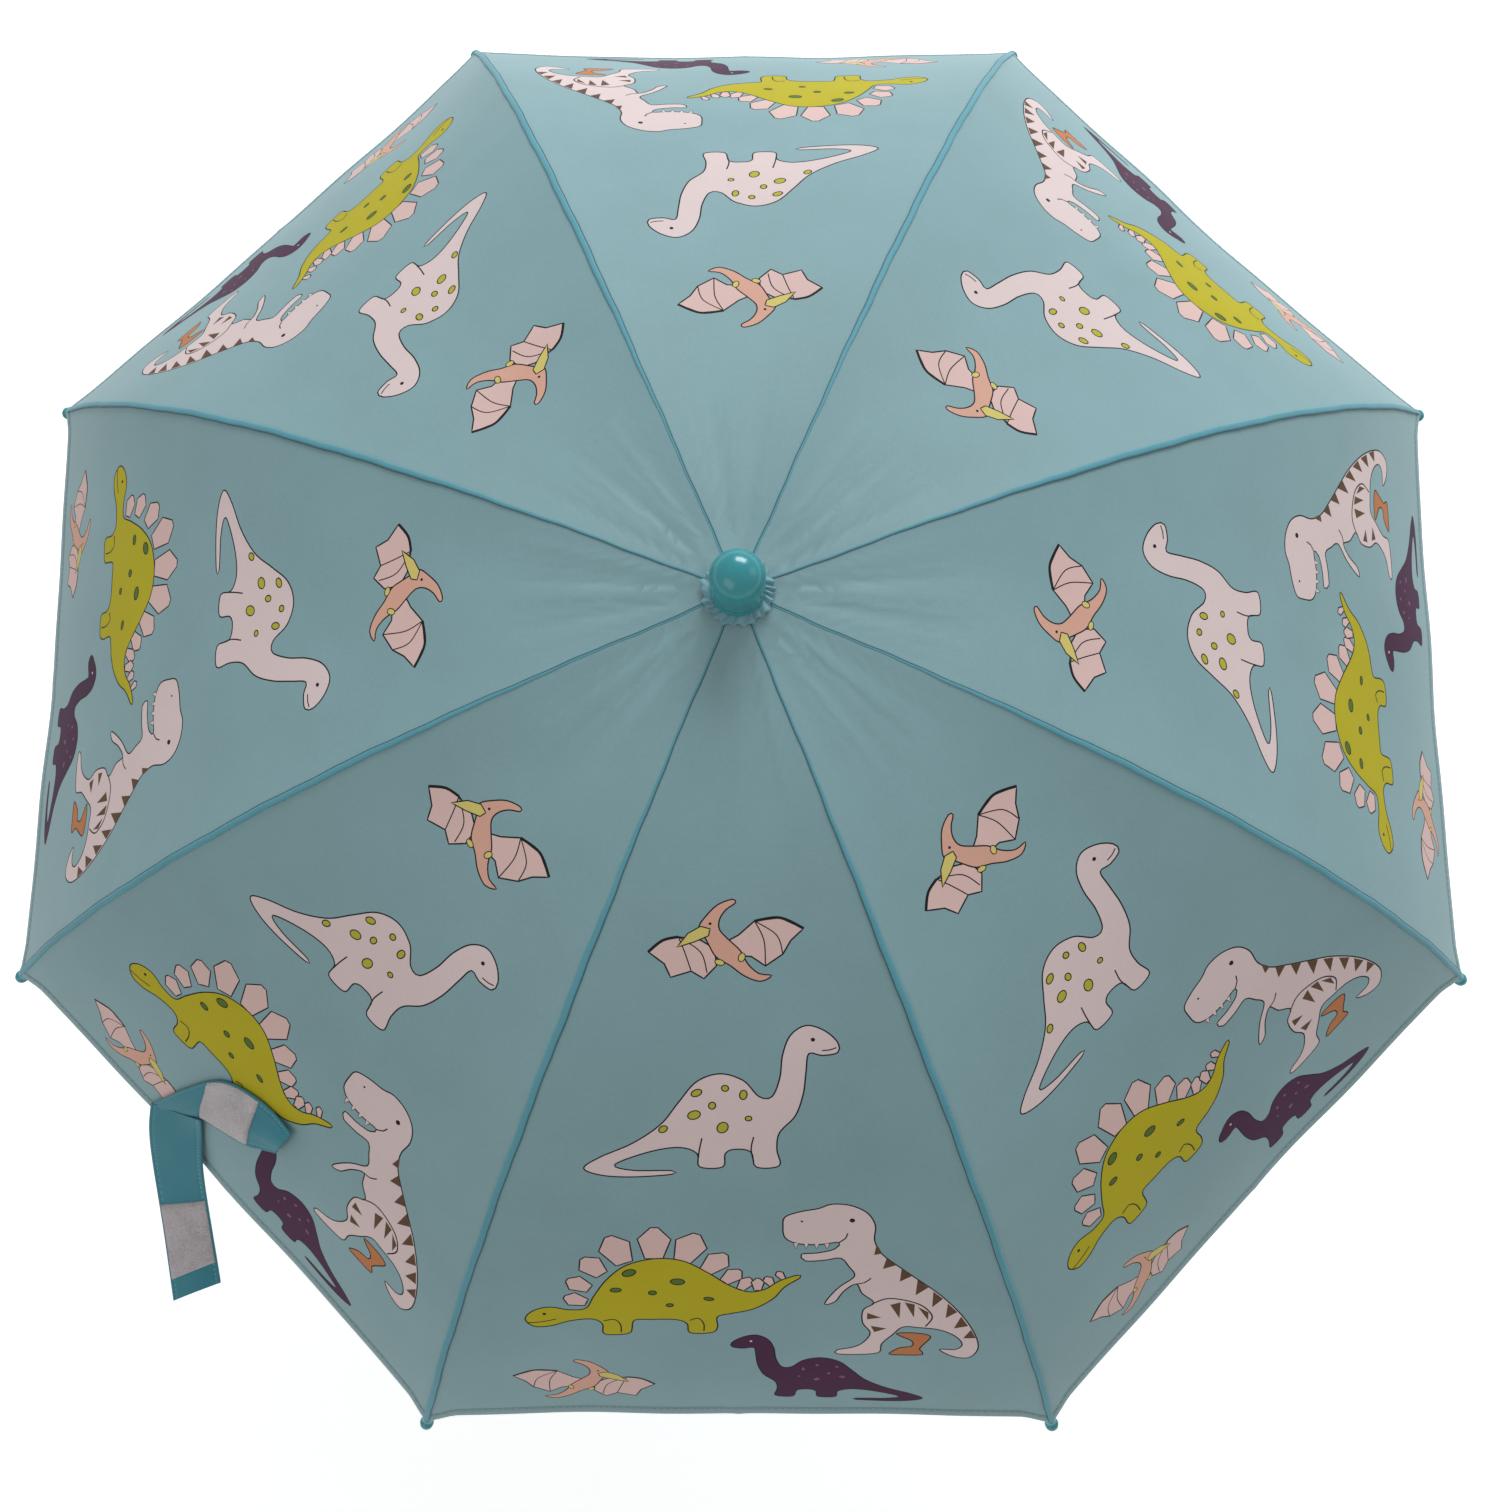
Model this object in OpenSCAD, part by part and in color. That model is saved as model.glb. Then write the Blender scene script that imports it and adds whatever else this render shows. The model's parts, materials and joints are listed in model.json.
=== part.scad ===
// Children's stick umbrella, open, standing upright: +Z runs up the shaft to the
// cap, the origin is on the shaft axis at the middle of the grip. Millimetres.
// Eight ribs stand at 22.5 + 45 k degrees. Ribs pivot on a wire in the top notch,
// stretchers pivot on a wire in the runner, and both wires have the same radius,
// so the runner slides straight along the shaft when every rib folds alike.

/* [Frame] */
// Height of the rib pivots above the middle of the grip, mm
pivot_height = 558; // [500:1:620]
// Radius of the notch wire and of the runner wire, mm
pivot_radius = 9; // [7:0.5:12]
// Arc length of the steel inner half of a rib, mm
inner_length = 232; // [180:1:280]
// Downward turn of the inner half from pivot to stretcher joint, degrees
inner_turn = 21; // [10:1:30]
// Arc length of the sprung outer half of a rib, mm
outer_length = 236; // [180:1:280]
// Slope of the outer half where it leaves the crimp, degrees
outer_slope = 22; // [10:1:32]
// Downward turn of the outer half, degrees
outer_turn = 32; // [20:1:45]
// Drop of the stretcher pivot below the rib centre line, mm
stretcher_drop = 4.2; // [3.8:0.1:7]

/* [Canopy] */
// Thickness of a canopy panel solid, mm
canopy_thickness = 0.8; // [0.6:0.1:1.5]
// Height of the canopy's outer face above the rib centre line, mm
canopy_lift = 3.0; // [2.9:0.1:4]
// Inward sag of a panel between its ribs, mm
panel_sag = 4; // [0:0.5:12]
// Inward bow of the hem between two tips, mm
hem_bow = 7; // [0:0.5:20]
// Gap between neighbouring canopy solids, mm
panel_gap = 0.3; // [0.2:0.1:0.6]

/* [Shaft and runner] */
// Outside radius of the shaft tube, mm
shaft_radius = 4; // [3.5:0.1:5]
// Wall of the shaft tube, mm
shaft_wall = 0.7; // [0.5:0.1:1]
// Radial running clearance of the runner on the shaft, mm
runner_clearance = 0.06; // [0.03:0.01:0.1]
// Length of the runner sleeve below its pivots, mm
sleeve_length = 40; // [30:1:50]
// Radius of the runner and notch flanges, mm
flange_radius = 11; // [10.5:0.1:14]

/* [Handle] */
// Radius of the handle's round section, mm
grip_radius = 8; // [7:0.5:11]
// Radius of the crook's centre line, mm
crook_radius = 26; // [20:1:36]
// Length of the crook's free end above its turn, mm
crook_end = 12; // [4:1:25]

/* [Top and tips] */
// Radius of the cap over the top of the shaft, mm
cap_radius = 12.4; // [9:0.1:14]
// Height of the cap's straight side, mm
cap_side = 19; // [8:1:24]
// Mean radius of the pleated ring under the cap, mm
rosette_radius = 16; // [13:0.5:20]
// Radius of the ball on each rib tip, mm
tip_radius = 3.5; // [3:0.1:5]

/* [Tie strap] */
// Width of the tie strap, mm
strap_width = 27; // [15:1:30]
// Length of the strap arm that lies on the canopy, mm
strap_top_length = 98; // [60:1:120]
// Length of the strap arm that hangs from the hem, mm
strap_tail_length = 102; // [60:1:130]

/* [Hidden] */
$fn = 48;

radian = 57.29577951308232;
inner_bend = inner_length / inner_turn * radian;
outer_bend = outer_length / outer_turn * radian;
rib_length = inner_length + outer_length;
// end of the inner arc, from the notch pivot
end_x = inner_bend * sin(inner_turn);
end_z = inner_bend * cos(inner_turn) - inner_bend;
// centre of the outer arc, from the notch pivot
arc_x = end_x - outer_bend * sin(outer_slope);
arc_z = end_z - outer_bend * cos(outer_slope);
// stretcher pivot, from the notch pivot
joint_x = end_x - stretcher_drop * sin(inner_turn);
joint_z = end_z - stretcher_drop * cos(inner_turn);
link = sqrt(joint_x * joint_x + joint_z * joint_z);
link_slope = atan2(-joint_z, joint_x);
// runner pivot height when open and when closed (inner link 88 degrees down)
runner_open = pivot_height + 2 * joint_z;
runner_closed = pivot_height - 2 * link * sin(88);
// the crimp ends and the sprung rod starts here, measured along the rib
flex_at = inner_length + 8;
wire = 0.6;
eye_bore = 0.68;
bore = shaft_radius + runner_clearance;

function slope_at(s) = s <= inner_length ? inner_turn * s / inner_length
    : outer_slope + outer_turn * (s - inner_length) / outer_length;
function rib_x(s, o) = s <= 0 ? s : s <= inner_length ? (inner_bend + o) * sin(slope_at(s))
    : arc_x + (outer_bend + o) * sin(slope_at(s));
function rib_z(s, o) = s <= 0 ? o : s <= inner_length ? (inner_bend + o) * cos(slope_at(s)) - inner_bend
    : arc_z + (outer_bend + o) * cos(slope_at(s));

// ---- shaft, handle and fixed parts ----

module shaft() {
    color([0.80, 0.81, 0.83])
    difference() {
        translate([0, 0, -30]) cylinder(r = shaft_radius, h = pivot_height + 16 + 30);
        translate([0, 0, -31]) cylinder(r = shaft_radius - shaft_wall, h = pivot_height + 16 + 32);
        // windows for the two catches, in the +X wall
        translate([1, -1.5, 411]) cube([5, 3, 15.2]);
        translate([1, -1.5, 63]) cube([5, 3, 11]);
        // cross hole for the travel stop
        translate([0, 8, runner_open + 5.4]) rotate([90, 0, 0]) cylinder(r = 1.03, h = 16);
    }
}

module handle() {
    color([0.10, 0.50, 0.56])
    difference() {
        union() {
            translate([0, 0, -25]) cylinder(r = grip_radius, h = 60);
            translate([crook_radius, 0, -25]) rotate([90, 0, 0]) rotate([0, 0, 180])
                rotate_extrude(angle = 180) translate([crook_radius, 0]) circle(r = grip_radius);
            translate([2 * crook_radius, 0, -25]) cylinder(r = grip_radius, h = crook_end);
            translate([2 * crook_radius, 0, -25 + crook_end]) sphere(r = grip_radius);
        }
        translate([0, 0, -30.5]) cylinder(r = shaft_radius + 0.03, h = 70);
    }
}

module handle_collar() {
    color([0.86, 0.87, 0.88])
    difference() {
        rotate_extrude() polygon([[4.6, 35.1], [9.2, 35.1], [9.2, 40], [8.4, 41.2], [7.4, 46], [6.2, 51], [4.6, 51]]);
        translate([0, 0, 34]) cylinder(r = 4.03, h = 20);
    }
    color([0.86, 0.87, 0.88])
    difference() {
        translate([0, 0, 35.1]) cylinder(r = 5, h = 15.9);
        translate([0, 0, 34]) cylinder(r = 4.03, h = 20);
    }
}

// flange with eight radial slots and a groove for the pivot wire, centred on z = 0
module slotted_flange(height) {
    difference() {
        translate([0, 0, -height / 2]) cylinder(r = flange_radius, h = height);
        for (k = [0 : 7]) rotate([0, 0, 22.5 + 45 * k])
            translate([6.4, -1.7, -height]) cube([8, 3.4, 2 * height]);
        rotate_extrude() translate([8.2, -0.85]) square([6, 1.7]);
    }
}

module top_notch() {
    color([0.88, 0.89, 0.90])
    difference() {
        translate([0, 0, pivot_height]) slotted_flange(8);
        translate([0, 0, pivot_height - 10]) cylinder(r = shaft_radius + 0.03, h = 20);
    }
}

module pivot_wire() {
    rotate_extrude() translate([pivot_radius, 0]) circle(r = wire, $fn = 24);
}

module notch_ring() {
    color([0.62, 0.63, 0.65]) translate([0, 0, pivot_height]) pivot_wire();
}

module ferrule_cap() {
    color([0.10, 0.52, 0.58])
    difference() {
        union() {
            translate([0, 0, pivot_height + 7.5]) cylinder(r = cap_radius, h = cap_side);
            intersection() {
                translate([0, 0, pivot_height + 7.5 + cap_side]) sphere(r = cap_radius);
                translate([-20, -20, pivot_height + 7 + cap_side]) cube([40, 40, 30]);
            }
        }
        translate([0, 0, pivot_height]) cylinder(r = shaft_radius + 0.03, h = 16.3);
    }
}

module rosette() {
    color([0.42, 0.62, 0.66])
    difference() {
        translate([0, 0, pivot_height + 6]) linear_extrude(height = 1.2)
            polygon([for (i = [0 : 95]) let (r = rosette_radius + 0.7 * cos(i * 90)) [r * cos(i * 3.75), r * sin(i * 3.75)]]);
        translate([0, 0, pivot_height + 5]) cylinder(r = shaft_radius + 0.3, h = 4);
    }
}

module travel_stop() {
    color([0.70, 0.71, 0.73])
    translate([0, 5.6, runner_open + 5.4]) rotate([90, 0, 0]) cylinder(r = 1, h = 11.2);
}

// leaf spring inside the tube with a nose that stands out of the +X wall
module catch_spring(z0, z1, nose) {
    translate([0, 1.1, 0]) rotate([90, 0, 0]) linear_extrude(height = 2.2) polygon(nose);
    translate([2.0, -1.1, z0]) cube([0.5, 2.2, z1 - z0]);
}

module top_catch() {
    color([0.78, 0.79, 0.81])
    catch_spring(384, 432, [[2.0, 412.4], [4.0, 412.4], [6.6, 420], [6.6, 425.5], [2.0, 425.5]]);
}

module bottom_catch() {
    color([0.78, 0.79, 0.81])
    catch_spring(40, 80, [[2.0, 64], [6.6, 64], [6.6, 69], [4.0, 73.2], [2.0, 73.2]]);
}

// ---- runner ----

module runner() {
    color([0.14, 0.15, 0.16])
    translate([0, 0, runner_open])
    difference() {
        union() {
            slotted_flange(7);
            translate([0, 0, -sleeve_length]) cylinder(r = 6.2, h = sleeve_length + 3.5);
            translate([0, 0, -sleeve_length]) cylinder(r = 7.2, h = 3);
        }
        translate([0, 0, -sleeve_length - 1]) cylinder(r = bore, h = sleeve_length + 10);
        // window that the lower catch enters when the umbrella is closed
        translate([2, -1.7, -35.2]) cube([8, 3.4, 11.2]);
    }
}

module runner_ring() {
    color([0.62, 0.63, 0.65]) translate([0, 0, runner_open]) pivot_wire();
}

// ---- ribs, built at azimuth 0 with the notch pivot at z = 0 ----

module arc_about(cx, cz, r, from_slope, to_slope) {
    translate([pivot_radius + cx, 0, cz]) rotate([90, 0, 0]) rotate([0, 0, 90 - to_slope])
        rotate_extrude(angle = to_slope - from_slope) translate([r, 0]) children();
}

module rib_inner() {
    difference() {
        union() {
            // fluted channel, open below
            arc_about(0, -inner_bend, inner_bend, 4 / inner_length * inner_turn, inner_turn)
                polygon([[1.2, -1.5], [1.2, 1.5], [-1.2, 1.5], [-1.2, 1.0], [0.7, 1.0], [0.7, -1.0], [-1.2, -1.0], [-1.2, -1.5]]);
            // flattened eye on the notch wire
            translate([pivot_radius, 0, 0]) rotate([90, 0, 0]) cylinder(r = 1.9, h = 1.8, center = true);
            translate([pivot_radius, -0.9, -1]) cube([6, 1.8, 2]);
            // crimp that holds the sprung rod
            translate([pivot_radius + end_x, 0, end_z]) rotate([0, outer_slope, 0])
                translate([-5, 0, 0]) rotate([0, 90, 0]) cylinder(r = 1.9, h = 11.35);
            // ear for the stretcher rivet
            translate([pivot_radius + end_x, 0, end_z]) rotate([0, inner_turn, 0]) {
                translate([-2.2, -0.9, -stretcher_drop]) cube([4.4, 1.8, stretcher_drop]);
                translate([0, 0, -stretcher_drop]) rotate([90, 0, 0]) cylinder(r = 2.2, h = 1.8, center = true);
            }
        }
        translate([pivot_radius, 0, 0]) rotate([90, 0, 0]) cylinder(r = eye_bore, h = 6, center = true);
        translate([pivot_radius + joint_x, 0, joint_z]) rotate([90, 0, 0]) cylinder(r = eye_bore, h = 6, center = true);
    }
}

module rib_outer() {
    arc_about(arc_x, arc_z, outer_bend, slope_at(flex_at), slope_at(rib_length)) circle(r = 1.25, $fn = 24);
    translate([pivot_radius + rib_x(flex_at, 0), 0, rib_z(flex_at, 0)]) sphere(r = 1.35, $fn = 24);
}

module tip() {
    translate([pivot_radius + rib_x(rib_length, 0), 0, rib_z(rib_length, 0)])
    rotate([0, slope_at(rib_length), 0])
    difference() {
        union() {
            translate([1.5, 0, 0]) sphere(r = tip_radius);
            translate([-6, 0, 0]) rotate([0, 90, 0]) cylinder(r = 2.0, h = 8);
        }
        translate([-7, 0, 0]) rotate([0, 90, 0]) cylinder(r = 1.32, h = 7.3);
    }
}

module stretcher() {
    translate([pivot_radius, 0, 2 * joint_z]) rotate([0, -link_slope, 0]) {
        difference() {
            union() {
                // channel, open above
                difference() {
                    translate([4.6, -1.8, -1.5]) cube([link - 10.6, 3.6, 3]);
                    translate([4.5, -1.2, -0.9]) cube([link - 10, 2.4, 4]);
                }
                // flattened eye on the runner wire
                rotate([90, 0, 0]) cylinder(r = 1.9, h = 1.8, center = true);
                translate([0, -0.9, -1.3]) cube([7, 1.8, 2.2]);
                // fork over the rib's ear
                for (side = [-1.8, 1.2]) {
                    translate([link - 6.5, side, -1.5]) cube([6.5, 0.6, 3]);
                    translate([link, side, 0]) rotate([-90, 0, 0]) cylinder(r = 1.5, h = 0.6);
                }
            }
            rotate([90, 0, 0]) cylinder(r = eye_bore, h = 6, center = true);
        }
        // rivet, closed over on both sides of the fork
        translate([link, 0, 0]) rotate([90, 0, 0]) cylinder(r = wire, h = 4.4, center = true);
        for (side = [-2.2, 1.7])
            translate([link, side, 0]) rotate([-90, 0, 0]) cylinder(r = 1.1, h = 0.5);
    }
}

// ---- canopy: one closed solid per rib, from panel middle to panel middle ----

stations = [-3, 5, 14, 30, 62, 96, 130, 165, 200, 232, 266, 300, 334, 368, 402, 433, 460];
across = [-1, -0.5, 0, 0.5, 1];
rows = len(stations);
cols = len(across);
function crown(s) = s <= 5 ? 2.6 : s < 30 ? 2.6 * pow((30 - s) / 25, 2) : 0;
function ease(v) = 1 - (1 - abs(v)) * (1 - abs(v));
function pulled(s, v) = s - hem_bow * ease(v) * max(0, (s - 200) / 260);
function sag(s, v) = panel_sag * ease(v) * (s <= 5 ? 0 : sin(180 * (s - 5) / (rib_length - 5) * 0.8));
function canopy_point(s, v, o) =
    let (q = pulled(s, v), d = o + crown(s) - sag(s, v),
         r = pivot_radius + rib_x(q, d), z = rib_z(q, d),
         x = r - abs(v) * r * pow(sin(22.5), 2), y = v * r * cos(22.5) * sin(22.5),
         g = abs(v) == 1 ? panel_gap / 2 : 0)
    [x + g * sin(22.5), y - g * sign(v) * cos(22.5), z];

module canopy() {
    top = [for (s = stations) for (v = across) canopy_point(s, v, canopy_lift)];
    low = [for (s = stations) for (v = across) canopy_point(s, v, canopy_lift - canopy_thickness)];
    n = rows * cols;
    polyhedron(points = concat(top, low), convexity = 4, faces = concat(
        [for (i = [0 : rows - 2]) for (j = [0 : cols - 2]) for (h = [0, 1])
            let (a = i * cols + j, b = a + cols, c = b + 1, d = a + 1) h == 0 ? [a, d, c] : [a, c, b]],
        [for (i = [0 : rows - 2]) for (j = [0 : cols - 2]) for (h = [0, 1])
            let (a = n + i * cols + j, b = a + cols, c = b + 1, d = a + 1) h == 0 ? [a, c, d] : [a, b, c]],
        [for (j = [0 : cols - 2]) for (h = [0, 1]) h == 0 ? [j + 1, j, n + j] : [j + 1, n + j, n + j + 1]],
        [for (j = [0 : cols - 2]) for (h = [0, 1]) let (t = (rows - 1) * cols + j)
            h == 0 ? [t, t + 1, n + t + 1] : [t, n + t + 1, n + t]],
        [for (i = [0 : rows - 2]) for (h = [0, 1]) let (t = i * cols)
            h == 0 ? [t, t + cols, n + t + cols] : [t, n + t + cols, n + t]],
        [for (i = [0 : rows - 2]) for (h = [0, 1]) let (t = i * cols + cols - 1)
            h == 0 ? [t + cols, t, n + t] : [t + cols, n + t, n + t + cols]]));
}

module rib_inner_at(k) color([0.74, 0.75, 0.77]) rotate([0, 0, 22.5 + 45 * (k - 1)]) translate([0, 0, pivot_height]) rib_inner();
module rib_outer_at(k) color([0.13, 0.14, 0.15]) rotate([0, 0, 22.5 + 45 * (k - 1)]) translate([0, 0, pivot_height]) rib_outer();
module tip_at(k) color([0.10, 0.52, 0.58]) rotate([0, 0, 22.5 + 45 * (k - 1)]) translate([0, 0, pivot_height]) tip();
module stretcher_at(k) color([0.74, 0.75, 0.77]) rotate([0, 0, 22.5 + 45 * (k - 1)]) translate([0, 0, pivot_height]) stretcher();
module canopy_at(k) color([0.47, 0.60, 0.63]) rotate([0, 0, 22.5 + 45 * (k - 1)]) translate([0, 0, pivot_height]) canopy();

// ---- tie strap, sewn to the hem of the panel between ribs 5 and 6 ----
strap_at = 420;
strap_slope = atan2(sin(slope_at(strap_at)), cos(slope_at(strap_at)) * cos(22.5));
strap_r = (pivot_radius + rib_x(strap_at, 0)) * cos(22.5);
strap_z = pivot_height + rib_z(strap_at, 0);
// sewn corner in the panel's own plane: down the slope and along the hem
sewn_down = 40;
sewn_along = -40.6;
strap_angle = 145;
hem_r = strap_r + sewn_down * cos(strap_slope) + 1.8 * sin(strap_slope);
hem_z = strap_z - sewn_down * sin(strap_slope) + 1.8 * cos(strap_slope);
hem_point = [hem_r * cos(-135) - sewn_along * sin(-135), hem_r * sin(-135) + sewn_along * cos(-135), hem_z];

module on_panel() {
    rotate([0, 0, -135]) translate([strap_r, 0, strap_z]) rotate([0, strap_slope, 0])
        translate([sewn_down, sewn_along, 1.3]) rotate([0, 0, strap_angle]) children();
}

module hanging() {
    translate(hem_point) rotate([-51, 0, 0]) children();
}

module tie_strap() {
    color([0.28, 0.53, 0.58]) {
        on_panel() translate([-1, -strap_width / 2, 0]) cube([strap_top_length, strap_width, 1]);
        hanging() translate([-strap_width / 2, -0.5, -strap_tail_length]) cube([strap_width, 1, strap_tail_length + 2]);
    }
}

module strap_loop_patch() {
    color([0.66, 0.65, 0.66])
    on_panel() translate([strap_top_length - 46, -strap_width / 2 + 1.5, 1.05]) cube([30, strap_width - 3, 0.7]);
}

module strap_hook_patch() {
    color([0.66, 0.65, 0.66])
    hanging() translate([-strap_width / 2 + 1.5, -1.25, -strap_tail_length + 6]) cube([strap_width - 3, 0.7, 30]);
}

shaft();
handle();
handle_collar();
top_notch();
notch_ring();
ferrule_cap();
rosette();
travel_stop();
top_catch();
bottom_catch();
runner();
runner_ring();
rib_inner_at(1);  // rib_inner_1
rib_inner_at(2);  // rib_inner_2
rib_inner_at(3);  // rib_inner_3
rib_inner_at(4);  // rib_inner_4
rib_inner_at(5);  // rib_inner_5
rib_inner_at(6);  // rib_inner_6
rib_inner_at(7);  // rib_inner_7
rib_inner_at(8);  // rib_inner_8
rib_outer_at(1);  // rib_outer_1
rib_outer_at(2);  // rib_outer_2
rib_outer_at(3);  // rib_outer_3
rib_outer_at(4);  // rib_outer_4
rib_outer_at(5);  // rib_outer_5
rib_outer_at(6);  // rib_outer_6
rib_outer_at(7);  // rib_outer_7
rib_outer_at(8);  // rib_outer_8
tip_at(1);  // tip_1
tip_at(2);  // tip_2
tip_at(3);  // tip_3
tip_at(4);  // tip_4
tip_at(5);  // tip_5
tip_at(6);  // tip_6
tip_at(7);  // tip_7
tip_at(8);  // tip_8
stretcher_at(1);  // stretcher_1
stretcher_at(2);  // stretcher_2
stretcher_at(3);  // stretcher_3
stretcher_at(4);  // stretcher_4
stretcher_at(5);  // stretcher_5
stretcher_at(6);  // stretcher_6
stretcher_at(7);  // stretcher_7
stretcher_at(8);  // stretcher_8
canopy_at(1);  // canopy_1
canopy_at(2);  // canopy_2
canopy_at(3);  // canopy_3
canopy_at(4);  // canopy_4
canopy_at(5);  // canopy_5
canopy_at(6);  // canopy_6
canopy_at(7);  // canopy_7
canopy_at(8);  // canopy_8
tie_strap();
strap_hook_patch();
strap_loop_patch();
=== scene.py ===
import bpy, math, json
import numpy as np
from mathutils import Vector, Matrix
from mathutils.geometry import delaunay_2d_cdt

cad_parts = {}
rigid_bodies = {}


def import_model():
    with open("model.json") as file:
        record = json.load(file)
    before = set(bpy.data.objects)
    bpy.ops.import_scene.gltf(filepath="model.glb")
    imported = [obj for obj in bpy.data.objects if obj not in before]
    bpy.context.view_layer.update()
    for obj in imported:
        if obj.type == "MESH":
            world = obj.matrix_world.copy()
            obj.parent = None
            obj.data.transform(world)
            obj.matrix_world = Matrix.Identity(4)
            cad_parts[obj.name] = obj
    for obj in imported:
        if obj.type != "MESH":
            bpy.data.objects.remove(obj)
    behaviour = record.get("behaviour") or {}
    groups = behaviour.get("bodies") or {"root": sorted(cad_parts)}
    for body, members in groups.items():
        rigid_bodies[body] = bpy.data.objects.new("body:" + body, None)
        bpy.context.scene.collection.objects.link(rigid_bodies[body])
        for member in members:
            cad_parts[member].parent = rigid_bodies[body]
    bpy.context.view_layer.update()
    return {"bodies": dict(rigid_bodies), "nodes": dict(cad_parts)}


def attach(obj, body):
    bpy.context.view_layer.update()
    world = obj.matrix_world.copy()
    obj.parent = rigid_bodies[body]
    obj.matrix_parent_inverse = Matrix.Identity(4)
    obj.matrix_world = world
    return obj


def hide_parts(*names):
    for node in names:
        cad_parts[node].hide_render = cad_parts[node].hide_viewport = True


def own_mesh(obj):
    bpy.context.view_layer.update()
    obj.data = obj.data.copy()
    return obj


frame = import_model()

bodies, nodes = frame["bodies"], frame["nodes"]
MM = 0.001
D2R = math.pi / 180

# ------------------------------------------------------------------ frame sizes, mm (as in the CAD)
ZT, PR = 558.0, 9.0
IN_LEN, IN_TURN, OUT_LEN, OUT_A0, OUT_TURN = 232.0, 21.0, 236.0, 22.0, 32.0
RIB = IN_LEN + OUT_LEN
R1 = IN_LEN / (IN_TURN * D2R)
R2 = OUT_LEN / (OUT_TURN * D2R)
EX, EZ = R1 * math.sin(IN_TURN * D2R), R1 * math.cos(IN_TURN * D2R) - R1
CX, CZ = EX - R2 * math.sin(OUT_A0 * D2R), EZ - R2 * math.cos(OUT_A0 * D2R)
FLEX = 240.0
K = 22.5 * D2R
LIFT = 2.45
rib_az = [22.5 + 45 * k for k in range(8)]


def rib_pt(s, o):
    """Point on a rib, o above its centre line: radius from the shaft axis and height over the notch wire."""
    s = np.asarray(s, float)
    a = IN_TURN * D2R * np.clip(s, 0, None) / IN_LEN
    b = (OUT_A0 + OUT_TURN * (s - IN_LEN) / OUT_LEN) * D2R
    x = np.where(s <= IN_LEN, (R1 + o) * np.sin(a) + np.minimum(s, 0), CX + (R2 + o) * np.sin(b))
    z = np.where(s <= IN_LEN, (R1 + o) * np.cos(a) - R1, CZ + (R2 + o) * np.cos(b))
    return PR + x, z


def slope(s):
    s = np.asarray(s, float)
    return np.where(s <= IN_LEN, IN_TURN * np.clip(s, 0, None) / IN_LEN, OUT_A0 + OUT_TURN * (s - IN_LEN) / OUT_LEN)


def crown(s):
    s = np.asarray(s, float)
    return np.where(s <= 5, 2.6, np.where(s < 30, 2.6 * ((30 - s) / 25) ** 2, 0))


def half_width(s):
    return rib_pt(s, LIFT + crown(s))[0] * math.sin(K)


def smooth(x):
    x = np.clip(x, 0, 1)
    return x * x * (3 - 2 * x)


def canopy_xyz(phi, s, X, lift=0.0, seed=0.0):
    """Outer face of the panel centred on azimuth phi, at s along the ribs and X across, in mm."""
    s, X = np.asarray(s, float), np.asarray(X, float)
    o = LIFT + crown(s)
    r, z = rib_pt(s, o)
    v = np.clip(X / (r * math.sin(K)), -1, 1)
    inner = 1 - v * v
    sag = 5.0 * inner * np.sin(np.pi * np.clip((s - 8) / RIB * 0.86, 0, 1))
    # pressed fold down the middle of the panel, and soft strain folds
    sag -= 0.40 * np.exp(-np.abs(X) / 3.0) * smooth((s - 20) / 40) * (0.6 + 0.4 * np.sin(s * 0.021 + seed))
    near = np.exp(-((s - 45) / 55) ** 2)
    sag += 0.34 * near * inner * np.sin(v * 9.5 + seed * 1.7) + 0.15 * near * inner * np.sin(v * 21 + seed * 2.9) ** 3 + 0.08 * near * inner * np.sin(v * 34 + seed * 5.3)
    pull = np.exp(-((RIB - s) / 70) ** 2) * inner
    sag += 0.9 * pull * (np.cos(v * 7.0 + seed) * 0.5 + 0.35 * np.sin(v * 12 + 2 * seed))
    sag += 0.45 * inner * np.sin(s * 0.030 + v * 3.0 + seed * 2.1) * smooth((s - 60) / 80)
    sl = slope(s) * D2R
    a = phi * D2R
    c, t = np.array([math.cos(a), math.sin(a)]), np.array([-math.sin(a), math.cos(a)])
    d = sag - lift
    rad = r * math.cos(K) - d * np.sin(sl)
    return np.stack([c[0] * rad + t[0] * X, c[1] * rad + t[1] * X, ZT + z - d * np.cos(sl)], -1)


def canopy_normal(phi, s, X, seed=0.0):
    e = 1.0
    w = half_width(s)
    Xm, Xp = np.clip(X - e, -w, w), np.clip(X + e, -w, w)
    du = canopy_xyz(phi, s + e, X, 0, seed) - canopy_xyz(phi, s - e, X, 0, seed)
    dv = canopy_xyz(phi, s, Xp, 0, seed) - canopy_xyz(phi, s, Xm, 0, seed)
    n = np.cross(du, dv)
    n /= np.linalg.norm(n, axis=-1, keepdims=True)
    return n


# ------------------------------------------------------------------ materials
def socket(node, *names):
    for n in names:
        if n in node.inputs:
            return node.inputs[n]
    raise KeyError(names)


def base_material(name, rough=0.5, **fixed):
    m = bpy.data.materials.new(name)
    m.use_nodes = True
    nt = m.node_tree
    p = nt.nodes["Principled BSDF"]
    p.inputs["Roughness"].default_value = rough
    for key, value in fixed.items():
        p.inputs[key.replace("_", " ")].default_value = value
    return m, nt, p


def noise(nt, scale, detail=3.0, rough=0.5, vector=None, dims="3D"):
    n = nt.nodes.new("ShaderNodeTexNoise")
    n.inputs["Scale"].default_value = scale
    n.inputs["Detail"].default_value = detail
    n.inputs["Roughness"].default_value = rough
    if vector is not None:
        nt.links.new(vector, n.inputs["Vector"])
    return n.outputs["Fac"]


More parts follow.
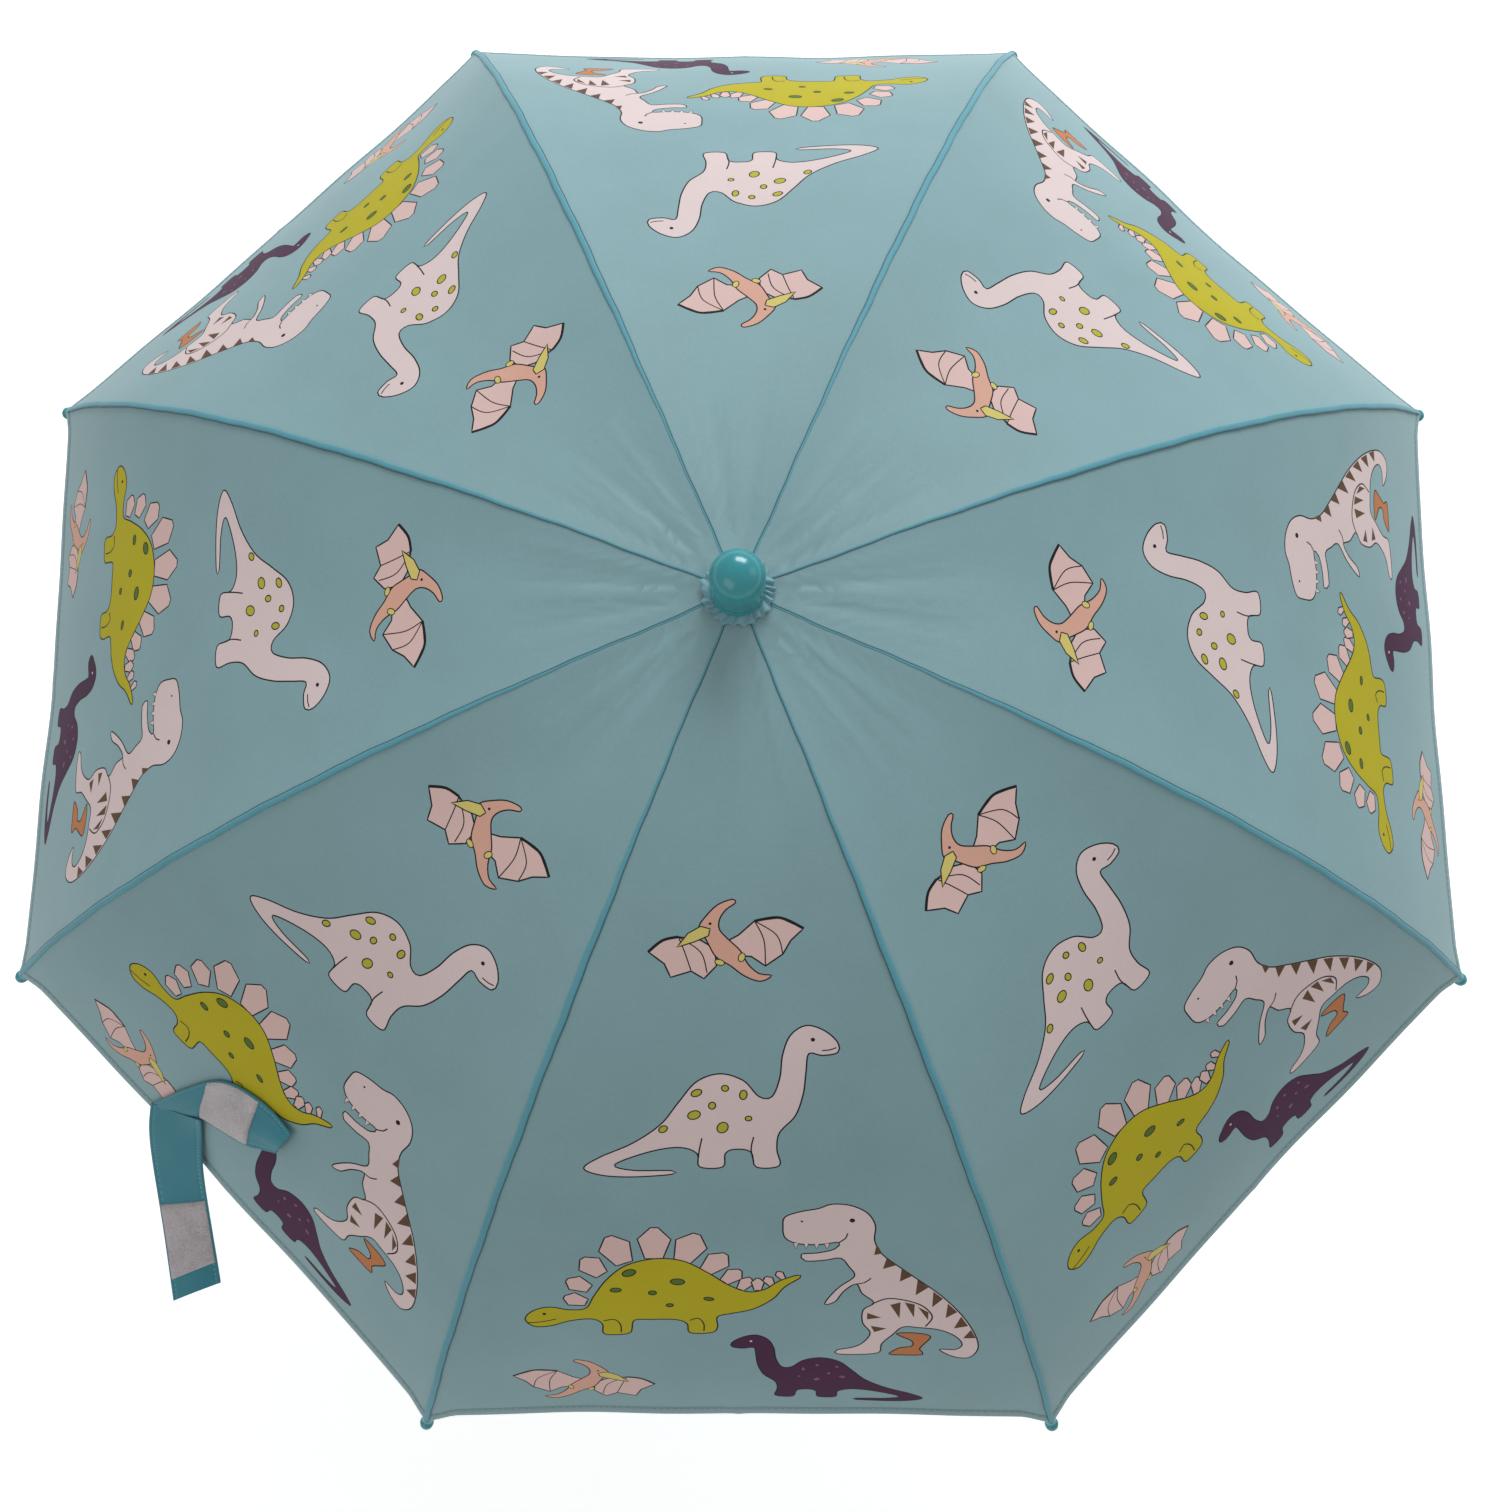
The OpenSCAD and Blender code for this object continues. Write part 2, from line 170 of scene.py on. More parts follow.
def coords(nt, uv=None):
    if uv:
        n = nt.nodes.new("ShaderNodeUVMap")
        n.uv_map = uv
        return n.outputs["UV"]
    return nt.nodes.new("ShaderNodeTexCoord").outputs["Object"]


def ramp(nt, fac, stops):
    r = nt.nodes.new("ShaderNodeValToRGB")
    cr = r.color_ramp
    while len(cr.elements) < len(stops):
        cr.elements.new(0.5)
    for e, (pos, col) in zip(cr.elements, stops):
        e.position = pos
        e.color = (*col, 1)
    nt.links.new(fac, r.inputs["Fac"])
    return r.outputs["Color"]


def math_node(nt, op, a, b=None):
    n = nt.nodes.new("ShaderNodeMath")
    n.operation = op
    for i, x in enumerate((a, b)):
        if x is None:
            continue
        if isinstance(x, (int, float)):
            n.inputs[i].default_value = x
        else:
            nt.links.new(x, n.inputs[i])
    return n.outputs[0]


def bump(nt, p, height, strength, distance):
    b = nt.nodes.new("ShaderNodeBump")
    b.inputs["Strength"].default_value = strength
    b.inputs["Distance"].default_value = distance
    nt.links.new(height, b.inputs["Height"])
    nt.links.new(b.outputs["Normal"], p.inputs["Normal"])


def wave(nt, vector, scale, direction, distortion=0.0):
    w = nt.nodes.new("ShaderNodeTexWave")
    w.wave_type = "BANDS"
    w.bands_direction = direction
    w.inputs["Scale"].default_value = scale
    w.inputs["Distortion"].default_value = distortion
    nt.links.new(vector, w.inputs["Vector"])
    return w.outputs["Fac"]


def tone(c, k):
    return tuple(max(0.0, min(1.0, x * k)) for x in c)


def fabric(name, colour, weave=1.0, rough=0.62, uv="weave", vary=0.07, sheen=0.12, ink=False):
    """Plain-woven polyester: crossing threads, soft tone drift, a little slub. uv is in metres."""
    m, nt, p = base_material(name, rough + (0.08 if ink else 0.0), Sheen_Weight=0.02 if ink else sheen, Sheen_Roughness=0.45, Specular_IOR_Level=0.16 if ink else 0.32)
    vec = coords(nt, uv)
    drift = noise(nt, 14, 4, 0.55, vec)
    slub = noise(nt, 420, 2, 0.6, vec)
    mixed = math_node(nt, "ADD", math_node(nt, "MULTIPLY", drift, 0.72), math_node(nt, "MULTIPLY", slub, 0.28))
    nt.links.new(ramp(nt, mixed, [(0.30, tone(colour, 1 - vary)), (0.5, colour), (0.72, tone(colour, 1 + vary))]), p.inputs["Base Color"])
    warp = wave(nt, vec, 260 * weave, "X", 0.4)
    weft = wave(nt, vec, 260 * weave, "Y", 0.4)
    thread = math_node(nt, "MAXIMUM", warp, weft)
    if ink:
        thread = math_node(nt, "MULTIPLY", thread, 0.55)
    height = math_node(nt, "ADD", math_node(nt, "MULTIPLY", thread, 0.6), math_node(nt, "MULTIPLY", slub, 0.4))
    bump(nt, p, height, 0.22, 0.00018)
    return m


def moulded(name, colour, rough, grain=0.05, scale=900, coat=0.0, vary=0.05, wear=0.0):
    """Moulded plastic: faint flow marks, fine surface grain."""
    m, nt, p = base_material(name, rough, Coat_Weight=coat, Coat_Roughness=0.08)
    vec = coords(nt)
    flow = noise(nt, 60, 5, 0.6, vec)
    nt.links.new(ramp(nt, flow, [(0.3, tone(colour, 1 - vary)), (0.5, colour), (0.75, tone(colour, 1 + vary))]), p.inputs["Base Color"])
    fine = noise(nt, scale, 3, 0.6, vec)
    rr = nt.nodes.new("ShaderNodeMapRange")
    rr.inputs["To Min"].default_value = max(0.02, rough - 0.06)
    rr.inputs["To Max"].default_value = rough + 0.10
    nt.links.new(flow, rr.inputs["Value"])
    nt.links.new(rr.outputs["Result"], p.inputs["Roughness"])
    bump(nt, p, fine, grain, 0.0002)
    return m


def metal(name, colour, rough, brush_axis=(1, 1, 30), spots=0.15):
    """Drawn or plated steel: fine drawing lines, dull spots."""
    m, nt, p = base_material(name, rough, Metallic=1.0)
    vec = coords(nt)
    mp = nt.nodes.new("ShaderNodeMapping")
    mp.inputs["Scale"].default_value = brush_axis
    nt.links.new(vec, mp.inputs["Vector"])
    lines = noise(nt, 900, 3, 0.6, mp.outputs["Vector"])
    dull = noise(nt, 55, 4, 0.6, vec)
    nt.links.new(ramp(nt, dull, [(0.28, tone(colour, 0.80)), (0.5, colour), (0.8, tone(colour, 1.08))]), p.inputs["Base Color"])
    rr = nt.nodes.new("ShaderNodeMapRange")
    rr.inputs["To Min"].default_value = max(0.05, rough - 0.08)
    rr.inputs["To Max"].default_value = rough + spots
    mixed = math_node(nt, "ADD", math_node(nt, "MULTIPLY", lines, 0.5), math_node(nt, "MULTIPLY", dull, 0.5))
    nt.links.new(mixed, rr.inputs["Value"])
    nt.links.new(rr.outputs["Result"], p.inputs["Roughness"])
    bump(nt, p, lines, 0.10, 0.00008)
    return m


FAB = (0.192, 0.318, 0.338)
M = {}
M["fabric"] = fabric("canopy_cloth", FAB)
# seam welt cloth: deeper, darker teal than the canopy, partly the doubled seam cloth and partly painted shade of the
# rib beneath
M["seam"] = fabric("seam_cloth_with_painted_shade", (0.085, 0.275, 0.33), vary=0.10)
M["hem"] = fabric("hem_cloth", (0.180, 0.290, 0.305), vary=0.07)
M["thread"] = fabric("sewing_thread", (0.075, 0.185, 0.215), weave=2.0, vary=0.15)
# painted shade: near-black teal for the thin line beside each seam welt, standing in for the shade in a sunk stitch
# line
M["groove"] = fabric("seam_groove_painted_shade", (0.040, 0.115, 0.140), weave=2.0, vary=0.15)
M["cream"] = fabric("print_cream", (0.62, 0.50, 0.49), ink=True, vary=0.04)
M["green"] = fabric("print_green", (0.42, 0.36, 0.010), ink=True, vary=0.05)
M["spot"] = fabric("print_dark_green", (0.085, 0.14, 0.020), ink=True, vary=0.05)
M["olive"] = fabric("print_olive", (0.40, 0.37, 0.035), ink=True, vary=0.05)
M["plate"] = fabric("print_pink", (0.62, 0.43, 0.40), ink=True, vary=0.04)
M["salmon"] = fabric("print_salmon", (0.60, 0.33, 0.25), ink=True, vary=0.05)
M["brown"] = fabric("print_brown", (0.11, 0.055, 0.028), ink=True, vary=0.08)
M["rust"] = fabric("print_rust", (0.45, 0.165, 0.060), ink=True, vary=0.06)
M["purple"] = fabric("print_purple", (0.056, 0.013, 0.045), ink=True, vary=0.08)
M["mauve"] = fabric("print_mauve", (0.20, 0.07, 0.14), ink=True, vary=0.08)
M["yellow"] = fabric("print_yellow", (0.58, 0.48, 0.14), ink=True, vary=0.05)
M["ink"] = fabric("print_line", (0.012, 0.011, 0.012), ink=True, vary=0.1)
for key_, col_ in (("fabric", (0.265, 0.385, 0.39)), ("cream", (0.40, 0.42, 0.42)), ("green", (0.26, 0.33, 0.24)), ("spot", (0.19, 0.29, 0.26)), ("olive", (0.30, 0.37, 0.28)), ("plate", (0.38, 0.40, 0.39)),
                   ("salmon", (0.35, 0.36, 0.34)), ("brown", (0.20, 0.27, 0.27)), ("rust", (0.31, 0.32, 0.29)), ("purple", (0.20, 0.27, 0.29)), ("mauve", (0.24, 0.30, 0.33)), ("yellow", (0.35, 0.40, 0.32)), ("ink", (0.17, 0.25, 0.26))):
    M[key_ + "_back"] = fabric("inside_" + key_, col_, vary=0.05)
PRINTS = ["fabric", "cream", "green", "spot", "olive", "plate", "salmon", "brown", "rust", "purple", "mauve", "yellow", "ink"]


CANOPY_MATS = [M[x] for x in PRINTS] + [M[x + "_back"] for x in PRINTS]


# ------------------------------------------------------------------ meshes
def add_mesh(name, verts_mm, faces, mats, face_mat=None, uv=None, normals=None, smooth_shade=True):
    me = bpy.data.meshes.new(name)
    me.from_pydata((np.asarray(verts_mm) * MM).tolist(), [], [list(map(int, f)) for f in faces])
    for m in mats:
        me.materials.append(m)
    if face_mat is not None:
        me.polygons.foreach_set("material_index", np.asarray(face_mat, dtype=np.int32))
    me.polygons.foreach_set("use_smooth", np.full(len(me.polygons), smooth_shade))
    layer = me.uv_layers.new(name="weave")
    li = np.empty(len(me.loops), dtype=np.int32)
    me.loops.foreach_get("vertex_index", li)
    if uv is None:
        v = np.asarray(verts_mm)
        uv = np.stack([np.arctan2(v[:, 1], v[:, 0]) * 30, v[:, 2]], -1)
    layer.data.foreach_set("uv", (np.asarray(uv)[li] * MM).ravel())
    me.validate(clean_customdata=False)
    me.update()
    if normals is not None:
        me.normals_split_custom_set_from_vertices([tuple(n) for n in normals])
    ob = bpy.data.objects.new(name, me)
    bpy.context.scene.collection.objects.link(ob)
    return ob


def lathe(name, profile, mats, n=64, z0=0.0, face_mat=None):
    """profile: (radius, height) from bottom to top, mm."""
    verts, faces, fm = [], [], []
    rings = []
    for (r, z) in profile:
        if r < 1e-6:
            rings.append([len(verts)])
            verts.append((0, 0, z + z0))
        else:
            rings.append(list(range(len(verts), len(verts) + n)))
            verts += [(r * math.cos(2 * math.pi * i / n), r * math.sin(2 * math.pi * i / n), z + z0) for i in range(n)]
    for k in range(len(rings) - 1):
        a, b = rings[k], rings[k + 1]
        for i in range(n):
            j = (i + 1) % n
            if len(a) == 1:
                f = (a[0], b[j], b[i])
            elif len(b) == 1:
                f = (a[i], a[j], b[0])
            else:
                f = (a[i], a[j], b[j], b[i])
            faces.append(f)
            fm.append(face_mat[k] if face_mat else 0)
    return add_mesh(name, verts, faces, mats, fm)


# ------------------------------------------------------------------ flat printed figures: plain generic dinosaurs
def curve(pts, closed=True, step=2.0):
    """Catmull-Rom through the points, resampled about every step mm."""
    p = np.asarray(pts, float)
    n = len(p)
    out = []
    for i in range(n if closed else n - 1):
        p0, p1, p2, p3 = (p[(i + d) % n] if closed else p[min(max(i + d, 0), n - 1)] for d in (-1, 0, 1, 2))
        m = max(2, int(np.linalg.norm(p2 - p1) / step + 0.5))
        for j in range(m):
            t = j / m
            out.append(0.5 * (2 * p1 + (p2 - p0) * t + (2 * p0 - 5 * p1 + 4 * p2 - p3) * t * t + (3 * p1 - p0 - 3 * p2 + p3) * t ** 3))
    if not closed:
        out.append(p[-1])
    return np.array(out)


shapes = []     # (material, polygon) in paint order


def stroke(line, closed, w=0.36, mat="ink"):
    d = np.roll(line, -1, 0) - np.roll(line, 1, 0) if closed else np.gradient(line, axis=0)
    d /= np.linalg.norm(d, axis=1, keepdims=True) + 1e-9
    nrm = np.stack([-d[:, 1], d[:, 0]], -1) * w
    a, b = line - nrm, line + nrm
    m = len(line)
    for i in range(m if closed else m - 1):
        j = (i + 1) % m
        shapes.append((mat, np.array([a[i], a[j], b[j], b[i]])))


def figure(mat, pts, box, sharp=False, line=0.36, flip=False):
    x0, y0, x1, y1 = box
    p = np.asarray(pts, float) / 100
    if flip:
        p[:, 0] = 1 - p[:, 0]
    p = p * [x1 - x0, y1 - y0] + [x0, y0]
    c = p if sharp else curve(p)
    if sharp:
        c = np.concatenate([np.linspace(p[i], p[(i + 1) % len(p)], 5)[:-1] for i in range(len(p))])
    shapes.append((mat, c))
    if line:
        stroke(c, True, line)


def dot(mat, cx, cy, rx, ry, box, ang=0.0, line=0.3, flip=False):
    x0, y0, x1, y1 = box
    if flip:
        cx = 100 - cx
        ang = -ang
    c = np.array([x0 + (x1 - x0) * cx / 100, y0 + (y1 - y0) * cy / 100])
    t = np.linspace(0, 2 * math.pi, 15)[:-1]
    e = np.stack([rx * np.cos(t), ry * np.sin(t)], -1)
    ca, sa = math.cos(ang), math.sin(ang)
    e = e @ np.array([[ca, sa], [-sa, ca]]) + c
    shapes.append((mat, e))
    if line:
        stroke(e, True, line)


def mark(pts, box, w=0.35, mat="ink", flip=False):
    x0, y0, x1, y1 = box
    p = np.asarray(pts, float) / 100
    if flip:
        p[:, 0] = 1 - p[:, 0]
    stroke(curve(p * [x1 - x0, y1 - y0] + [x0, y0], False), False, w, mat)


SAUROPOD = [(35, 97), (20, 98.5), (8, 97), (1, 92), (7, 85), (20, 76), (31, 64), (38, 50), (45, 37), (54, 32), (63, 36), (69, 46), (74, 46),
            (77, 34), (78, 20), (81, 8), (87, 2), (94, 5), (99, 12), (99, 18), (93, 20), (88, 19), (87, 30), (86, 44), (83, 58), (77, 69), (76, 80), (77, 91),
            (68, 92), (66, 82), (60, 80), (56, 83), (55, 92), (46, 92), (45, 83), (38, 79), (26, 82), (13, 90), (20, 94), (35, 94.5)]
box = (-71, 198, 46, 281)
figure("cream", SAUROPOD, box)
for x, y, rx, ry, a in [(45, 44, 2.6, 1.7, -0.5), (56, 41, 1.6, 1.6, 0), (63, 45, 1.7, 2.5, 0.1), (51, 52, 1.6, 1.9, 0.2), (44, 58, 3.0, 2.2, -0.4), (55, 66, 2.4, 3.0, 0.5), (65, 60, 1.5, 1.3, 0), (32, 67, 2.2, 1.6, -0.7)]:
    dot("olive", x, y, rx, ry, box, a)
dot("ink", 89.5, 10.5, 1.0, 1.0, box, 0, 0)
mark([(93, 17), (96, 16.5), (98.5, 15)], box, 0.3)
mark([(67, 72), (66, 80), (67, 88)], box, 0.35)
mark([(47, 73), (46, 80), (45.5, 86)], box, 0.35)

# plated dinosaur
box = (-103, 303, 30, 386)
PL = [(22, 66, -68, 10, 9), (23.5, 54, -58, 11, 10), (28.5, 42, -38, 13, 12), (37, 33, -22, 18, 15), (48, 29.5, 2, 19, 15), (58.5, 32, 22, 18, 15), (67, 41, 40, 14, 12), (73.5, 50, 44, 10, 9), (79, 56, 30, 8, 7), (84.5, 56.5, 0, 7, 6), (89, 52.5, -28, 5, 5), (93, 47.5, -30, 4.5, 4)]
for bx, by, ang, ln, wd in PL:
    a = ang * D2R
    u, w_ = np.array([math.sin(a), -math.cos(a)]), np.array([math.cos(a), math.sin(a)])
    c = np.array([box[0] + 1.33 * bx, box[1] + 0.83 * by])
    kite = np.array([c - u * 2 - w_ * wd * 0.28, c + u * ln * 0.55 - w_ * wd * 0.52, c + u * ln * 0.93 - w_ * wd * 0.12, c + u * ln * 0.93 + w_ * wd * 0.12, c + u * ln * 0.55 + w_ * wd * 0.52, c - u * 2 + w_ * wd * 0.28])
    kk = np.concatenate([np.linspace(kite[i], kite[(i + 1) % 6], 4)[:-1] for i in range(6)])
    shapes.append(("plate", kk))
    stroke(kk, True, 0.36)
figure("green", [(1, 80), (4, 73), (10, 70), (17, 73), (23, 72), (26, 62), (31, 48), (38, 37), (48, 32), (58, 34), (67, 44), (74, 54), (81, 60), (87, 58), (92, 51), (98.5, 46), (99.5, 48), (94, 56), (90, 66), (83, 75), (75, 79), (70, 82), (70, 91), (68, 96.5),
                 (60, 96.5), (59, 88), (55, 84), (46, 83.5), (40, 84), (39, 92), (37.5, 96.5), (29, 96.5), (28.5, 87), (25, 82), (17, 83), (10, 87), (4, 87)], box)
for x, y, rx, ry, a in [(39, 43, 3.4, 2.2, -0.4), (34, 57, 2.6, 1.5, 0), (47, 60, 1.9, 1.5, 0), (56, 51, 3.4, 2.1, 0.1), (67, 66, 2.4, 1.2, 0.2), (53, 71, 1.7, 1.2, 0)]:
    dot("spot", x, y, rx, ry, box, a)
dot("ink", 8, 76, 0.9, 0.9, box, 0, 0)
mark([(2, 83.5), (7, 83), (12, 81)], box, 0.3)
mark([(29, 84), (33, 83), (35, 88), (35, 95)], box, 0.35)
mark([(60, 85), (63, 83), (65, 88), (65, 95)], box, 0.35)

# two-legged hunter
box = (20, 294, 117, 401)
figure("rust", [(58, 82), (68, 81), (75, 83), (72, 89), (70, 93), (72, 97), (60, 98), (55, 97.5), (60, 92.5), (66, 91), (66, 87)], box, line=0.36)
figure("cream", [(1, 14), (2, 9), (9, 6), (18, 4), (24, 1.5), (33, 2), (41, 6), (45, 13), (45, 22), (49, 30), (57, 37), (67, 45), (79, 55), (90, 68), (97, 81), (99, 91), (95, 98), (87, 97.5), (80, 92.5), (88, 92), (91, 88), (87, 82), (79, 78), (69, 77), (61, 77),
                 (56, 83), (51, 90), (50, 96.5), (41, 98.5), (29, 98.5), (29, 95.5), (37, 93), (42, 89), (45, 82), (41, 75), (41, 66), (46, 61), (40, 55), (37, 49), (31, 54), (27, 61), (22, 63), (24, 58), (29, 51), (36, 44), (33, 38), (29, 33), (21, 34.5), (12, 35),
                 (10, 31), (18, 30), (26, 27.5), (28, 23.5), (18, 25), (8, 24.5), (2, 21)], box)
for q in [[(46, 24), (49, 29.5), (45, 30.5)], [(51, 32.5), (56, 36.3), (49.5, 39)], [(58.5, 38.5), (64, 42.5), (58, 46.5)], [(66.5, 45), (72, 49.5), (66, 55)], [(74.5, 52), (79.5, 56.5), (74.5, 62.5)], [(82, 59.5), (87, 65), (81.5, 69.5)], [(89, 68), (93, 74.5), (86, 76.5)], [(94.5, 77), (97.3, 83), (91, 83.5)],
          [(54, 62), (59, 60), (59, 71)], [(61, 60), (66, 61), (66, 70)], [(67.5, 62.5), (73, 66), (73, 71.5)], [(43, 68), (50, 71), (43, 72.5)], [(45, 77), (53, 78.5), (47, 81.5)]]:
    shapes.append(("brown", np.array([[box[0] + 0.97 * x, box[1] + 1.07 * y] for x, y in q])))
dot("ink", 34, 10.5, 1.3, 1.3, box, 0, 0)
dot("ink", 10, 11.5, 0.6, 0.6, box, 0, 0)
mark([(28, 23.5), (31, 21), (32, 18)], box, 0.35)
mark([(45, 62), (52, 58), (61, 58.5), (70, 62), (75, 69), (72, 76)], box, 0.4)
mark([(37, 49), (41, 48), (44, 45)], box, 0.35)
for x in (6, 11, 16, 21):
    shapes.append(("cream", np.array([[box[0] + .97 * x, box[1] + 1.07 * 24.3], [box[0] + .97 * (x + 2.6), box[1] + 1.07 * 24.3], [box[0] + .97 * (x + 1.3), box[1] + 1.07 * 27.6]])))
    stroke(np.array([[box[0] + .97 * x, box[1] + 1.07 * 24.5], [box[0] + .97 * (x + 1.3), box[1] + 1.07 * 27.6], [box[0] + .97 * (x + 2.6), box[1] + 1.07 * 24.5]]), False, 0.22)

# small dark sauropod, facing the other way
box = (-4, 384, 93, 443)
figure("purple", SAUROPOD, box, line=0.34, flip=True)
for x, y, rx, ry, a in [(46, 45, 1.4, 1.0, -0.5), (56, 43, 1.2, 1.2, 0), (63, 49, 1.1, 1.6, 0.1), (50, 55, 1.2, 1.2, 0.2), (43, 60, 2.0, 1.2, -0.4), (56, 64, 1.8, 1.5, 0.5), (65, 60, 1.1, 0.9, 0)]:
    dot("mauve", x, y, rx, ry, box, a, 0.2, True)
dot("cream", 89.5, 10.5, 0.9, 0.9, box, 0, 0.2, True)


def flyer(box, flip=False, k=1.0):
    figure("plate", [(1, 63), (10, 50), (20, 46), (34, 50), (43, 60), (44, 80), (36, 95), (28, 86), (15, 93), (11, 77)], box, sharp=True, line=0.38 * k, flip=flip)
    figure("plate", [(50, 52), (58, 44), (68, 28), (84, 24), (99, 36), (91, 50), (86, 66), (75, 80), (66, 69), (56, 68)], box, sharp=True, line=0.38 * k, flip=flip)
    for q in ([(20, 46), (24, 64), (28, 86)], [(20, 46), (34, 64), (38, 88)], [(68, 28), (82, 44), (86, 66)], [(68, 28), (74, 50), (75, 80)]):
        mark(q, box, 0.28 * k, flip=flip)
    mark([(1, 63), (10, 50), (20, 46)], box, 0.7 * k, flip=flip)
    mark([(68, 28), (84, 24), (99, 36)], box, 0.7 * k, flip=flip)
    figure("salmon", [(33, 34), (38, 21), (45, 9), (54, 3), (56, 7), (50, 15), (46, 26), (46, 38), (52, 50), (59, 62), (64, 78), (71, 89), (79, 91), (72, 98), (62, 92), (53, 80), (44, 70), (39, 55), (36, 44)], box, line=0.34 * k, flip=flip)
    figure("yellow", [(19, 58), (26, 42), (34, 34), (40, 37), (39, 45), (30, 52)], box, sharp=True, line=0.3 * k, flip=flip)
    dot("ink", 40, 31, 0.7 * k, 0.7 * k, box, 0, 0, flip)
    dot("yellow", 46, 76, 2.2 * k, 1.4 * k, box, 0.3, 0.24 * k, flip)
    dot("yellow", 60, 70, 1.5 * k, 2.2 * k, box, 0.3, 0.24 * k, flip)


flyer((-40, 137, 30, 179))
flyer((-112, 403, -41, 441), flip=True, k=0.85)

# ------------------------------------------------------------------ one flat panel, cut along its prints
S0 = 3.0


def hem_s(v):
    v = np.abs(v)
    return 455.5 + 1.2 * (1 - v * v) + 6.0 * smooth((v - 0.90) / 0.10)


def hem_xy(v):
    """The point (X, s) on the hem at v from -1 to 1."""
    s = hem_s(v)
    return np.stack([v * half_width(s), s], -1)


vv = np.sin(np.linspace(-1, 1, 61) * math.pi / 2)
side_s = np.linspace(S0, hem_s(1.0), 60)[:-1]
left = np.stack([-half_width(side_s), side_s], -1)
right = np.stack([half_width(side_s), side_s], -1)[::-1]
outline = np.concatenate([left, hem_xy(vv), right])
tops = np.linspace(half_width(S0), -half_width(S0), 7)[1:-1]
outline = np.concatenate([outline, np.stack([tops, np.full(5, S0)], -1)])

pts, faces_in, face_mats, edges_in = [], [], [], []


def put(poly):
    base = len(pts)
    pts.extend([Vector((float(x), float(y))) for x, y in poly])
    return list(range(base, base + len(poly)))


faces_in.append(put(outline))
face_mats.append("fabric")
for mat, poly in shapes:
    faces_in.append(put(poly))
    face_mats.append(mat)
for y in (FLEX, FLEX - 12):
    w = float(half_width(y))
    ids = put([(x, y) for x in np.linspace(-w + 0.01, w - 0.01, 31)])
    edges_in += list(zip(ids[:-1], ids[1:]))
ids = put([(0.0, y) for y in np.linspace(S0 + 0.01, float(hem_s(0)) - 0.01, 90)])
edges_in += list(zip(ids[:-1], ids[1:]))
for s_ in np.arange(S0 + 5, 452, 7.0):
    w = float(half_width(s_)) - 3.0
    n = max(2, int(w / (2.2 if s_ < 105 else 8.0)))
    put([(x, s_) for x in np.linspace(-w, w, 2 * n + 1)])
    put([(-w - 1.6, s_), (w + 1.6, s_)])
def inside(poly, p):
    """Even-odd test of points p in a polygon."""
    got = np.zeros(len(p), bool)
    x, y = p[:, 0], p[:, 1]
    q = np.roll(poly, -1, 0)
    for (x1, y1), (x2, y2) in zip(poly, q):
        if y1 == y2:
            continue
        cross = ((y1 > y) != (y2 > y)) & (x < (x2 - x1) * (y - y1) / (y2 - y1) + x1)
        got ^= cross
    return got


for f in faces_in:
    edges_in += list(zip(f, f[1:] + f[:1]))
res = delaunay_2d_cdt(pts, edges_in, [], 0, 1e-4, False)
P2 = np.array([(v.x, v.y) for v in res[0]])
tri = np.array([f for f in res[2] if len(f) == 3])
c0 = P2[tri].mean(1)
tri_mat = np.where(inside(outline, c0), 0, -1)
for mat, poly in shapes:
    lo_, hi_ = poly.min(0), poly.max(0)
    near_ = np.nonzero((c0[:, 0] >= lo_[0]) & (c0[:, 0] <= hi_[0]) & (c0[:, 1] >= lo_[1]) & (c0[:, 1] <= hi_[1]) & (tri_mat >= 0))[0]
    if len(near_):
        hit = near_[inside(poly, c0[near_])]
        tri_mat[hit] = PRINTS.index(mat)
keep_t = tri_mat >= 0
tri, tri_mat = tri[keep_t], tri_mat[keep_t]
print("panel triangles", len(tri), "shapes", len(shapes))
# drop slivers of no area, and turn every triangle the same way
e1, e2 = P2[tri[:, 1]] - P2[tri[:, 0]], P2[tri[:, 2]] - P2[tri[:, 0]]
area2 = e1[:, 0] * e2[:, 1] - e1[:, 1] * e2[:, 0]
ok = np.abs(area2) > 1e-5
tri, tri_mat, area2 = tri[ok], tri_mat[ok], area2[ok]
# X right and s down the panel: outward is (s cross X), so want negative turn in (X, s)
flipf = area2 > 0
tri[flipf] = tri[flipf][:, ::-1]
cen = P2[tri].mean(1)


def fold(ob):
    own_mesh(ob)


